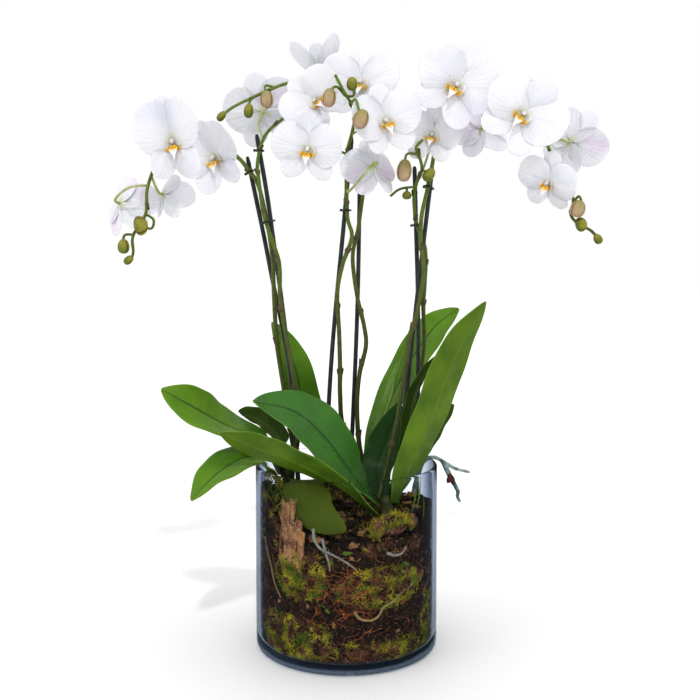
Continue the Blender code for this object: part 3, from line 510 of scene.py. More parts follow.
looks |= {"lip": makeLipMaterial(), "callus": makeCallusMaterial(), "column": makeColumnMaterial(),
          "stem": makeStemMaterial(), "glass": makeGlassMaterial()}
looks["budGreen"] = makeBudMaterial("budGreen", (0.42, 0.40, 0.06), (0.20, 0.26, 0.03), (0.10, 0.055, 0.02))
looks["budBlush"] = makeBudMaterial("budBlush", (0.42, 0.40, 0.16), (0.64, 0.46, 0.33), (0.27, 0.13, 0.08))


# glass cylinder and what fills it

vase = {"radius": 0.100, "height": 0.200, "wall": 0.0045, "floor": 0.010, "footRound": 0.006,
        "steps": 144}


def makeVase():
    inner = vase["radius"] - vase["wall"]
    lip, foot = vase["wall"] / 2, vase["footRound"]
    profile = [(0.0, 0.0)]
    profile += [(vase["radius"] - foot + foot * sin(pi / 2 * step / 6),
                 foot - foot * cos(pi / 2 * step / 6)) for step in range(7)]
    profile += [(vase["radius"], vase["height"] * share / 6) for share in range(1, 6)]
    profile += [(inner + lip + lip * cos(pi * step / 8), vase["height"] - lip + lip * sin(pi * step / 8))
                for step in range(9)]
    profile += [(inner, mixed(vase["height"], vase["floor"], share / 6)) for share in range(1, 6)]
    profile += [(inner - foot + foot * cos(pi / 2 * step / 6),
                 vase["floor"] + foot - foot * sin(pi / 2 * step / 6)) for step in range(7)]
    profile += [(0.0, vase["floor"])]
    bm = bmesh.new()
    verts = [bm.verts.new((x, 0.0, z)) for x, z in profile]
    edges = [bm.edges.new(pair) for pair in zip(verts, verts[1:])]
    bmesh.ops.spin(bm, geom=verts + edges, cent=(0, 0, 0), axis=(0, 0, 1), dvec=(0, 0, 0),
                   angle=tau, steps=vase["steps"], use_merge=True)
    bmesh.ops.remove_doubles(bm, verts=bm.verts, dist=0.00002)
    finishPiece("glassCylinder", bm, [looks["glass"]], ["glass_vase"])


mix = {"level": 0.138, "low": 0.0112, "across": 260, "along": 150, "floorEnds": 0.12, "wallEnds": 0.62}
mixBanks = [
    {"x": -0.090, "y": -0.020, "rise": 0.044, "spread": 0.0283},
    {"x": 0.086, "y": -0.010, "rise": 0.024, "spread": 0.0316},
    {"x": 0.000, "y": 0.075, "rise": 0.030, "spread": 0.0671},
    {"x": -0.005, "y": -0.095, "rise": -0.014, "spread": 0.0400},
]
fillRadius = 0.0950
# moss behind the glass: angle from the front in degrees and height in mm, then the half sizes of the patch
mossPatches = [
    {"at": (-32, 98), "half": (20, 24), "count": 2300, "dry": 0.30},
    {"at": (-46, 132), "half": (9, 14), "count": 216, "dry": 0.6},
    {"at": (-38, 33), "half": (32, 24), "count": 3300, "dry": 0.35},
    {"at": (24, 88), "half": (32, 22), "count": 3000, "dry": 0.35},
    {"at": (12, 22), "half": (44, 12), "count": 2000, "dry": 0.55},
    {"at": (38, 20), "half": (18, 13), "count": 624, "dry": 0.2},
    {"at": (66, 40), "half": (9, 36), "count": 768, "dry": 0.15},
    {"at": (-60, 168), "half": (14, 24), "count": 720, "dry": 0.5},
    {"at": (-14, 118), "half": (14, 12), "count": 312, "dry": 0.7},
    {"at": (34, 128), "half": (26, 9), "count": 624, "dry": 0.75},
    {"at": (120, 70), "half": (34, 46), "count": 1500, "dry": 0.4},
    {"at": (190, 60), "half": (32, 40), "count": 1400, "dry": 0.4},
    {"at": (250, 80), "half": (34, 44), "count": 1500, "dry": 0.4},
    {"at": (180, 140), "half": (50, 18), "count": 1200, "dry": 0.6},
    {"at": (0, 72), "half": (90, 62), "count": 2600, "dry": 1.0},
    {"at": (180, 72), "half": (90, 62), "count": 1600, "dry": 1.0},
]
# roots against the glass, as angle and height
glassRoots = {
    "rootA": {"route": [(-21, 150), (-20, 138), (-16, 130), (-8, 124), (0, 117), (7, 108)], "radius": 1.7},
    "rootB": {"route": [(-15, 140), (-13, 128), (-11, 117), (-10, 107)], "radius": 1.6},
    "rootC": {"route": [(-66, 128), (-62, 112), (-57, 100), (-53, 84), (-46, 70)], "radius": 1.2},
    "rootD": {"route": [(5, 66), (9, 58), (16, 56), (21, 60), (24, 68), (31, 72), (36, 78), (46, 84),
                        (53, 92)], "radius": 1.6},
    "rootE": {"route": [(26, 124), (32, 120), (38, 121), (42, 127)], "radius": 1.8},
    "rootF": {"route": [(140, 120), (148, 90), (156, 84), (170, 60)], "radius": 1.7},
    "rootG": {"route": [(232, 130), (226, 100), (236, 84), (240, 60)], "radius": 1.6},
}


def mixHeight(x, y):
    height = mix["level"] + 0.0018 * sin(x * 180 + 1.0) * cos(y * 160)
    for bank in mixBanks:
        height += bank["rise"] * exp(-((x - bank["x"]) ** 2 + (y - bank["y"]) ** 2) / bank["spread"] ** 2)
    return height


def onWall(angle, height, radius=fillRadius):
    # a place behind the glass: angle from the front in degrees, height in metres
    return Vector((radius * sin(radians(angle)), -radius * cos(radians(angle)), height))


def alongWall(angle):
    return Vector((cos(radians(angle)), sin(radians(angle)), 0))


def rimHeight(angle):
    # how high the mix stands against the glass
    turn = radians(angle)
    return mixHeight(fillRadius * sin(turn), -fillRadius * cos(turn))


def roughness(place, scale, seed=0.0):
    return noise.fractal(place * scale + Vector((seed, seed, seed)), 1.0, 2.0, 4)


def mixPoint(u, v):
    # up the wall from the middle of the floor, then over the top to the middle
    angle = u * pi
    floorEnds, wallEnds = mix["floorEnds"], mix["wallEnds"]
    if v < floorEnds:
        radius, share = fillRadius * v / floorEnds * 0.97, None
    elif v < wallEnds:
        radius, share = fillRadius, (v - floorEnds) / (wallEnds - floorEnds)
    else:
        radius, share = fillRadius * (1 - (v - wallEnds) / (1 - wallEnds)), 1.0
    x, y = radius * sin(angle), -radius * cos(angle)
    height = mix["low"] if share is None else mixed(mix["low"] + 0.002, mixHeight(x, y), share)
    place = Vector((x, y, height))
    lumps = abs(roughness(place, 55.0)) * 0.0085 + abs(roughness(place, 170.0, 3.0)) * 0.0035
    if floorEnds <= v <= 0.66:
        if 0.093 < height < 0.162 and abs(angle + radians(44)) < 0.17:
            lumps = 0.012                # room for the upright bark
        place -= Vector((sin(angle), -cos(angle), 0)) * min(0.012, lumps)
    if v > wallEnds:
        place.z += roughness(place, 70.0, 5.0) * 0.004
    return place


def makeMixCore():
    bm = bmesh.new()
    addSheet(bm, mix["across"], mix["along"], mixPoint)
    bmesh.ops.remove_doubles(bm, verts=bm.verts, dist=0.00003)
    finishPiece("mixCore", bm, [looks["soil"]], ["potting_mix"])


# bark chips: how many, the range of each side, how deep they sit and which of them are pale (1)
chips = {
    "wall": {"count": 620, "size": ((0.003, 0.010), (0.0016, 0.004), (0.002, 0.007)),
             "depth": (0.0008, 0.004), "kinds": (0, 0, 0, 0, 1)},
    "plates": {"count": 26, "size": ((0.004, 0.009), (0.0016, 0.003), (0.016, 0.030)),
               "depth": (0.0002, 0.002), "angle": (-47, -29), "height": (0.112, 0.166)},
    "top": {"count": 300, "size": ((0.006, 0.018), (0.004, 0.010), (0.002, 0.006)),
            "reach": 0.086, "kinds": (0, 0, 1)},
    "chamfer": 0.0004,
}


def someSize(rng, kind):
    return Vector([rng.uniform(*span) for span in kind["size"]])


def addChip(bm, place, size, turn, rng, kind):
    verts = bmesh.ops.create_cube(bm, size=1.0)["verts"]
    for vert in verts:
        vert.co += Vector((rng.uniform(-0.22, 0.22), rng.uniform(-0.22, 0.22), rng.uniform(-0.2, 0.2)))
    bmesh.ops.scale(bm, vec=size, verts=verts)
    bmesh.ops.transform(bm, matrix=Matrix.Translation(place) @ turn, verts=verts)
    for face in facesOf(verts):
        face.material_index = kind


def makeChips():
    rng = random.Random(11)
    bm = bmesh.new()
    wall, plates, top = chips["wall"], chips["plates"], chips["top"]
    for _ in range(wall["count"]):       # against the glass, in the wall's own direction
        angle = rng.uniform(-180, 180)
        height = rng.uniform(0.016, rimHeight(angle) - 0.004)
        if abs(angle + 44) < 10 and height > 0.090:
            continue                     # room for the upright slab
        size = someSize(rng, wall)
        place = onWall(angle, height, fillRadius - size.y * 0.5 - rng.uniform(*wall["depth"]))
        turn = (Matrix.Rotation(radians(angle), 4, "Z") @ Matrix.Rotation(rng.uniform(-1.5, 1.5), 4, "Y")
                @ Matrix.Rotation(rng.uniform(-0.25, 0.25), 4, "X"))
        addChip(bm, place, size, turn, rng, rng.choice(wall["kinds"]))
    for _ in range(plates["count"]):     # tall tan plates beside the slab
        angle, height = rng.uniform(*plates["angle"]), rng.uniform(*plates["height"])
        size = someSize(rng, plates)
        place = onWall(angle, height, fillRadius - size.y * 0.5 - rng.uniform(*plates["depth"]))
        turn = Matrix.Rotation(radians(angle), 4, "Z") @ Matrix.Rotation(rng.uniform(-0.12, 0.12), 4, "Y")
        addChip(bm, place, size, turn, rng, 1)
    for _ in range(top["count"]):
        radius, angle = top["reach"] * sqrt(rng.random()), rng.uniform(0, tau)
        x, y = radius * sin(angle), -radius * cos(angle)
        size = someSize(rng, top)
        turn = Matrix.Rotation(rng.uniform(0, tau), 4, "Z") @ Matrix.Rotation(rng.uniform(-0.6, 0.6), 4, "X")
        place = Vector((x, y, mixHeight(x, y) + rng.uniform(-0.001, 0.003)))
        addChip(bm, place, size, turn, rng, rng.choice(top["kinds"]))
    bmesh.ops.bevel(bm, geom=bm.edges, offset=chips["chamfer"], segments=1, profile=0.5, affect="EDGES",
                    material=-1)
    finishPiece("barkChips", bm, [looks["chip"], looks["slab"]], sharp=35)


moss = {
    "wall": {"length": (0.002, 0.0062), "thick": (0.00020, 0.00040), "depth": (0.0005, 0.0028)},
    "tufts": {"length": (0.003, 0.010), "thick": (0.00025, 0.0005), "dryShare": 0.35},
    "tip": 0.00008, "bend": 0.6, "low": 0.013, "frontEnds": -0.02,
}
# tufts that stand up on the top: middle, reach, how many, how far the patch bulges
mossTufts = [(0.047, -0.066, 0.022, 2600, 0.0165), (-0.075, -0.035, 0.020, 500, 0.0165),
             (0.0, 0.02, 0.085, 2200, 0.0)]


def strand(place, heading, kind, rng):
    # three points of one bent strand, and its radii
    length, bend = rng.uniform(*kind["length"]), rng.uniform(-moss["bend"], moss["bend"])
    side = heading.orthogonal().normalized()
    side.rotate(Matrix.Rotation(rng.uniform(0, tau), 3, heading))
    points = [keepInside(place + heading * (length * t) + side * (bend * length * t * t))
              for t in (0, 0.5, 1)]
    thick = rng.uniform(*kind["thick"])
    return points, [thick, thick * 0.9, moss["tip"]]


def mossPart(spot):
    if spot.y >= moss["frontEnds"]:
        return "Back"
    return "FrontLeft" if spot.x < 0 else "FrontRight"


def makeMoss():
    rng = random.Random(23)
    fresh, dry = [], []
    wall, tufts = moss["wall"], moss["tufts"]
    for patch in mossPatches:
        for _ in range(patch["count"]):
            spread, turn = sqrt(rng.random()), rng.uniform(0, tau)
            angle = patch["at"][0] + patch["half"][0] * spread * cos(turn)
            height = (patch["at"][1] + patch["half"][1] * spread * sin(turn)) / 1000
            height = min(max(height, moss["low"]), rimHeight(angle) + 0.004)
            tone = roughness(onWall(angle, height), 90.0, 9.0) * 0.6 + 0.5
            tilt = rng.uniform(0, tau)
            heading = (alongWall(angle) * cos(tilt) + Vector((0, 0, 1)) * sin(tilt)
                       - onWall(angle, 0, 1.0) * 0.12).normalized()
            place = onWall(angle, height, fillRadius - rng.uniform(*wall["depth"]))
            run = strand(place, heading, wall, rng)
            (dry if tone < patch["dry"] + 0.12 else fresh).append(run)
    for x, y, reach, count, bulge in mossTufts:
        for _ in range(count):
            radius, angle = reach * sqrt(rng.random()), rng.uniform(0, tau)
            spot = Vector((x + radius * cos(angle), y + radius * sin(angle), 0))
            if spot.length > fillRadius - 0.003:
                continue
            spot.z = mixHeight(spot.x, spot.y) - 0.001
            spot.z += bulge * sqrt(max(0.0, 1 - (radius / reach) ** 2))
            heading = Vector((rng.uniform(-0.9, 0.9), rng.uniform(-0.9, 0.9), 1.0)).normalized()
            run = strand(spot, heading, tufts, rng)
            (dry if rng.random() < tufts["dryShare"] else fresh).append(run)
    for name, runs, look in (("mossFresh", fresh, "moss"), ("mossDry", dry, "mossDry")):
        for part in ("FrontLeft", "FrontRight", "Back"):
            strands = [run for run in runs if mossPart(run[0][0]) == part]
            bm = bmesh.new()
            addMesh(bm, tubeMesh(strands, 4))
            finishPiece(name + part, bm, [looks[look]])


def keepInside(point, radius=fillRadius + 0.0001):
    flat = Vector((point.x, point.y, 0))
    if flat.length > radius:
        flat *= radius / flat.length
    return Vector((flat.x, flat.y, max(mix["low"], point.z)))


fibres = {"count": 230, "gathered": 90, "middle": (4, 0.082), "scatter": (16, 0.016), "low": 0.014,
          "thick": (0.00018, 0.00050)}


def makeGlassRoots():
    rng = random.Random(5)
    pale, warm, twigs = [], [], []
    for name, root in glassRoots.items():
        radius = root["radius"] / 1000
        points = [onWall(angle, height / 1000, fillRadius - radius * 0.9) for angle, height in root["route"]]
        path = smoothRoute(points, 28)
        radii = [radius * (1 - 0.45 * step / 27) * rng.uniform(0.86, 1.08) for step in range(28)]
        radii[-1] *= 0.3
        (warm if name in ("rootC", "rootD") else pale).append((path, radii))
    for number in range(fibres["count"]):        # fine brown and orange fibres
        angle, height = rng.uniform(-180, 180), rng.uniform(0.018, 0.125)
        if number < fibres["gathered"]:
            angle, height = (rng.gauss(*pair) for pair in zip(fibres["middle"], fibres["scatter"]))
        height = max(fibres["low"], height)
        points = [onWall(angle, height, fillRadius - 0.0008)]
        tilt = rng.uniform(0, tau)
        for step in range(4):
            tilt += rng.uniform(-0.9, 0.9)
            angle += 3.2 * cos(tilt)
            height = max(fibres["low"], height + 0.0035 * sin(tilt))
            points.append(onWall(angle, height, fillRadius - rng.uniform(0.0005, 0.0016)))
        thick = rng.uniform(*fibres["thick"])
        twigs.append((smoothRoute(points, 9), [thick * (1 - 0.07 * step) for step in range(9)]))
    bm = bmesh.new()
    addMesh(bm, tubeMesh(pale, 12), 0)
    addMesh(bm, tubeMesh(warm, 12), 1)
    finishPiece("rootsBehindGlass", bm, [looks["root"], looks["rootWarm"]])
    bm = bmesh.new()
    addMesh(bm, tubeMesh(twigs, 6), 0)
    finishPiece("fineTwigs", bm, [looks["twig"]])


scraps = [   # green leaf scraps and blades in the mix: angle, height, length, width, tilt
    (-14, 68, 15, 4.5, -35), (42, 108, 12, 3.5, -30), (46, 99, 13, 3.0, 30), (3, 98, 12, 3.0, 80),
    (0, 126, 14, 4.0, 5), (-14, 127, 11, 3.0, 60), (55, 178, 34, 2.2, 78), (49, 170, 30, 1.8, 66),
    (61, 160, 26, 2.0, 84), (-9, 116, 10, 3.0, -65),
]


def makeScraps():
    bm = bmesh.new()
    for angle, height, length, width, tilt in scraps:
        centre = onWall(angle, height / 1000, fillRadius - 0.0022)
        outward = onWall(angle, 0, 1.0)
        way = alongWall(angle) * cos(radians(tilt)) + Vector((0, 0, 1)) * sin(radians(tilt))
        side = way.cross(outward)

        def scrapPoint(u, v):
            wide = width / 2000 * sin(pi * mixed(0.08, 0.96, v)) ** 0.7
            bow = 0.0012 * sin(pi * v) - 0.0004 * u * u
            return keepInside(centre + way * ((v - 0.5) * length / 1000) + side * (u * wide) + outward * bow)

        addSheet(bm, 6, 14, scrapPoint)
    piece = finishPiece("greenScraps", bm, [looks["leafFresh"], looks["leafUnder"]])
    addSolidify(piece, 0.0004, -1.0)


slab = {"size": (0.015, 0.010, 0.062), "place": (-0.061, -0.063, 0.128), "turn": -36, "cracks": 0.0030,
        "grain": 0.0012}
mound = {"size": (0.024, 0.0125, 0.014), "place": (0.047, -0.066, 0.147), "turn": 34, "heart": 0.84}


def makeSlab():
    # bark with upright plates and cracks
    bm = bmesh.new()
    bmesh.ops.create_cube(bm, size=1.0, matrix=Matrix.Diagonal((*slab["size"], 1.0)))
    bmesh.ops.subdivide_edges(bm, edges=bm.edges, cuts=22, use_grid_fill=True)
    turn = Matrix.Rotation(radians(slab["turn"]), 4, "Z")
    bmesh.ops.transform(bm, matrix=Matrix.Translation(slab["place"]) @ turn, verts=bm.verts)
    bm.normal_update()
    for vert in bm.verts:
        stretched = Vector((vert.co.x * 260, vert.co.y * 260, vert.co.z * 45))
        depth = abs(noise.noise(stretched)) * slab["cracks"] + abs(roughness(vert.co, 200.0)) * slab["grain"]
        vert.co -= vert.normal * depth
    finishPiece("barkSlabSkin", bm, [looks["slab"]], ["bark_slab"], recalc=False)


def makeMound():
    bm = bmesh.new()
    size = Vector(mound["size"]) * mound["heart"]
    turn = Matrix.Rotation(radians(mound["turn"]), 4, "Z")
    addBall(bm, Vector(mound["place"]), size, turn, 40, 24)
    bm.normal_update()
    for vert in bm.verts:
        vert.co += vert.normal * (roughness(vert.co, 120.0) * 0.0016 - abs(roughness(vert.co, 420.0)) * 0.001)
        vert.co = keepInside(vert.co, fillRadius)
    finishPiece("mossMoundHeart", bm, [looks["mossDry"]], ["moss_mound"], recalc=False)


# crowns and leaves

crowns = {
    "left": {"place": (-66, 4, 160), "top": (-64, 3, 194)},
    "right": {"place": (44, -40, 136), "top": (43, -40, 172)},
    "back": {"place": (16, 46, 158), "top": (15, 46, 192)},
}

leaves = {
    "leaf_left_upper": {
        "crown": "left", "height": 186, "width": 58, "fold": 0.20,
        "route": [(-96, -2, 224), (-133, -20, 245), (-162, -34, 265), (-195, -45, 287)],
        "face": [(0.1, -0.3, 1.0), (-0.2, -0.8, 0.6)]},
    "leaf_left_lower": {
        "crown": "left", "height": 172, "width": 52, "fold": 0.18,
        "route": [(-90, -15, 200), (-107, -29, 211), (-135, -58, 199), (-158, -84, 178)],
        "face": [(0.2, -0.2, 1.0), (-0.5, -0.6, 0.6)]},
    "leaf_front_long": {
        "crown": "right", "height": 150, "width": 42, "fold": 0.18,
        "route": [(-10, -64, 190), (-58, -75, 217), (-94, -80, 232), (-129, -84, 247)],
        "face": [(0.35, 0.65, 0.7), (0.1, 0.85, 0.5)]},
    "leaf_front_broad": {
        "crown": "right", "height": 162, "width": 64, "fold": 0.14,
        "route": [(6, -46, 197), (-22, -52, 236), (-54, -60, 265), (-96, -70, 278)],
        "face": [(0.5, -0.7, 0.7), (-0.2, -0.6, 0.8)]},
    "leaf_left_back": {
        "crown": "left", "height": 181, "width": 38, "fold": 0.15,
        "route": [(-74, 33, 219), (-95, 39, 239), (-124, 46, 251)],
        "face": [(0.3, 0.6, 0.7), (-0.1, 0.75, 0.6)]},
    "leaf_back_upright": {
        "crown": "back", "height": 176, "width": 42, "fold": 0.20,
        "route": [(-14, 64, 200), (-46, 56, 246), (-62, 50, 308), (-85, 50, 353)],
        "face": [(0.1, -1.0, 0.4), (0.3, -0.9, 0.3)]},
    "leaf_in_vase": {
        "crown": "left", "height": 178, "width": 44, "fold": -0.25,
        "route": [(-52, -40, 189), (-43, -64, 184), (-28, -76, 162), (0, -80, 145)],
        "face": [(-0.1, -0.2, 1.0), (-0.1, -0.95, 0.1)]},
    "leaf_right_tall": {
        "crown": "right", "height": 166, "width": 50, "fold": 0.14,
        "route": [(64, -50, 200), (90, -40, 257), (118, -22, 322), (152, -5, 378)],
        "face": [(-0.5, 0.8, 0.4), (-0.5, 0.9, 0.2)]},
    "leaf_right_under": {
        "crown": "right", "height": 160, "width": 28, "fold": 0.16,
        "route": [(70, -17, 196), (94, -15, 232), (117, -10, 266)],
        "face": [(-0.5, 0.7, 0.5), (-0.5, 0.8, 0.3)]},
    "leaf_back_right": {
        "crown": "back", "height": 180, "width": 50, "fold": 0.16,
        "route": [(44, 70, 240), (74, 82, 300), (105, 88, 344), (134, 92, 366)],
        "face": [(-0.6, -0.7, 0.4), (-0.5, -0.7, 0.5)]},
    "leaf_middle_narrow": {
        "crown": "back", "height": 170, "width": 26, "fold": 0.22,
        "route": [(31, 30, 212), (43, 33, 250), (55, 38, 288), (65, 44, 319)],
        "face": [(-0.8, -0.3, 0.5), (-1.0, -0.2, 0.2)]},
    "leaf_right_broad": {
        "crown": "right", "height": 162, "width": 38, "fold": 0.12,
        "route": [(34, 8, 190), (45, 18, 222), (60, 21, 264)],
        "face": [(0.0, -1.0, 0.6), (0.1, -1.0, 0.1)]},
    "leaf_back_small": {
        "crown": "right", "height": 171, "width": 22, "fold": 0.15,
        "route": [(60, -16, 206), (69, 2, 250), (79, 13, 285), (101, 18, 317)],
        "face": [(-0.5, 0.75, 0.45), (-0.6, 0.6, 0.5)]},
}

# leaves that sit in shade behind others take the darker copies, painted shade
leafMaterials = {      # upper side, underside
    "leaf_left_upper": ("leafFresh", "leafUnder"), "leaf_left_lower": ("leafFresh", "leafUnder"),
    "leaf_front_long": ("leafFresh", "leafUnder"), "leaf_front_broad": ("leafCool", "leafUnder"),
    "leaf_left_back": ("leafPaintedShade", "leafUnderPaintedShade"), "leaf_back_upright": ("leafFresh", "leafUnder"),
    "leaf_in_vase": ("leafOlive", "leafOlive"), "leaf_right_tall": ("leafFresh", "leafUnder"),
    "leaf_right_under": ("leafPaintedShade", "leafUnderPaintedShade"), "leaf_back_right": ("leafFresh", "leafUnder"),
    "leaf_middle_narrow": ("leafFresh", "leafUnder"), "leaf_right_broad": ("leafPaintedShade", "leafUnderPaintedShade"),
    "leaf_back_small": ("leafPaintedShade", "leafUnderPaintedShade"),
}
leaf = {"thickness": 0.0018, "baseWidth": 0.28, "widest": 0.6, "clasp": 0.3, "crownRadius": 0.0075,
        "gap": 0.0004}


def leafWidth(t):
    if t < leaf["widest"]:
        return mixed(leaf["baseWidth"], 1.0, sin(pi / 2 * t / leaf["widest"]) ** 0.85)
    past = (t - leaf["widest"]) / (1 - leaf["widest"])
    return max(0.03, max(0.0, 1 - past ** 1.75) ** 0.72)


def leafStart(shape):
    crown = crowns[shape["crown"]]
    foot, top = toMetres(crown["place"]), toMetres(crown["top"])
    axis = foot.lerp(top, (shape["height"] / 1000 - foot.z) / (top.z - foot.z))
    away = toMetres(shape["route"][0]) - axis
    away.z = 0.0
    return axis + away.normalized() * (leaf["crownRadius"] + leaf["thickness"] + leaf["gap"])


def leafFace(shape, t):
    crown = crowns[shape["crown"]]
    inward = toMetres(crown["top"]) - toMetres(shape["route"][0])
    inward.z = 0.0
    clasp = inward.normalized() + Vector((0, 0, 0.5))
    base, tip = (Vector(way).normalized() for way in shape["face"])
    if t < leaf["clasp"]:
        return clasp.lerp(base, t / leaf["clasp"])
    return base.lerp(tip, (t - leaf["clasp"]) / (1 - leaf["clasp"]))


def makeLeaf(name, shape, seed):
    along = 64
    points = smoothRoute([leafStart(shape), *map(toMetres, shape["route"])], along + 1)
    half = shape["width"] / 2000

    def leafPoint(u, v):
        t = 1 - (1 - v) ** 1.25           # more rows near the blunt tip
        spot = t * along
        index = min(int(spot), along - 1)
        place = points[index].lerp(points[index + 1], spot - index)
        ahead = points[min(index + 2, along)] - points[max(index - 1, 0)]
        side = ahead.cross(leafFace(shape, t)).normalized()
        up = side.cross(ahead).normalized()
        reach = half * leafWidth(t) * (1 + 0.03 * sin(t * 9 + seed) * u)
        fold = shape["fold"] * sqrt(u * u + 0.02) * reach
        groove = -0.0012 * exp(-(u * reach / 0.0016) ** 2) * (1 - t * 0.7)
        edge = 0.0011 * sin(t * 15 + seed * 2 + u) * u * u * t + 0.0008 * sin(t * 31 + seed) * abs(u) ** 3
        return place + side * (u * reach) + up * (fold + groove + edge)

    bm = bmesh.new()
    addSheet(bm, 22, along, leafPoint)
    upper, under = leafMaterials[name]
    piece = finishPiece(pieceName(name), bm, [looks[upper], looks[under]], [name], recalc=False)
    addSolidify(piece, leaf["thickness"] * 0.9)
    addSubsurf(piece, 1)


def makeCrowns():
    for name, crown in crowns.items():
        foot, top = toMetres(crown["place"]), toMetres(crown["top"])
        foot.z -= 0.020
        points = smoothRoute([foot, foot.lerp(top, 0.5), top], 16)
        radii = [leaf["crownRadius"] * (0.96 + 0.05 * sin(step * 1.9)) for step in range(15)]
        bm = bmesh.new()
        addMesh(bm, tubeMesh([(points, radii + [leaf["crownRadius"] * 0.5])], 24))
        finishPiece("crownStem-" + name, bm, [looks["crown"]], ["crown_" + name])


# stakes, clips and flower spikes

stakes = {
    "stake_left_front": [(-46, -4, 40), (-59, -4, 272), (-82, -4, 465), (-97, -5, 559)],
    "stake_left_back": [(-50, 14, 40), (-60, 14, 270), (-85, 14, 417), (-109, 12, 537)],
    "stake_centre_front": [(-30, 20, 40), (-18, 16, 293), (-3, 12, 462), (6, 9, 558)],
    "stake_centre_back": [(-2, 42, 40), (9, 42, 281), (13, 42, 393), (15, 42, 507)],
    "stake_right_back": [(80, 28, 40), (81, 28, 332), (78, 28, 463), (76, 27, 528)],
    "stake_right_front": [(34, 6, 40), (60, 6, 222), (77, 8, 372), (95, 12, 528)],
}

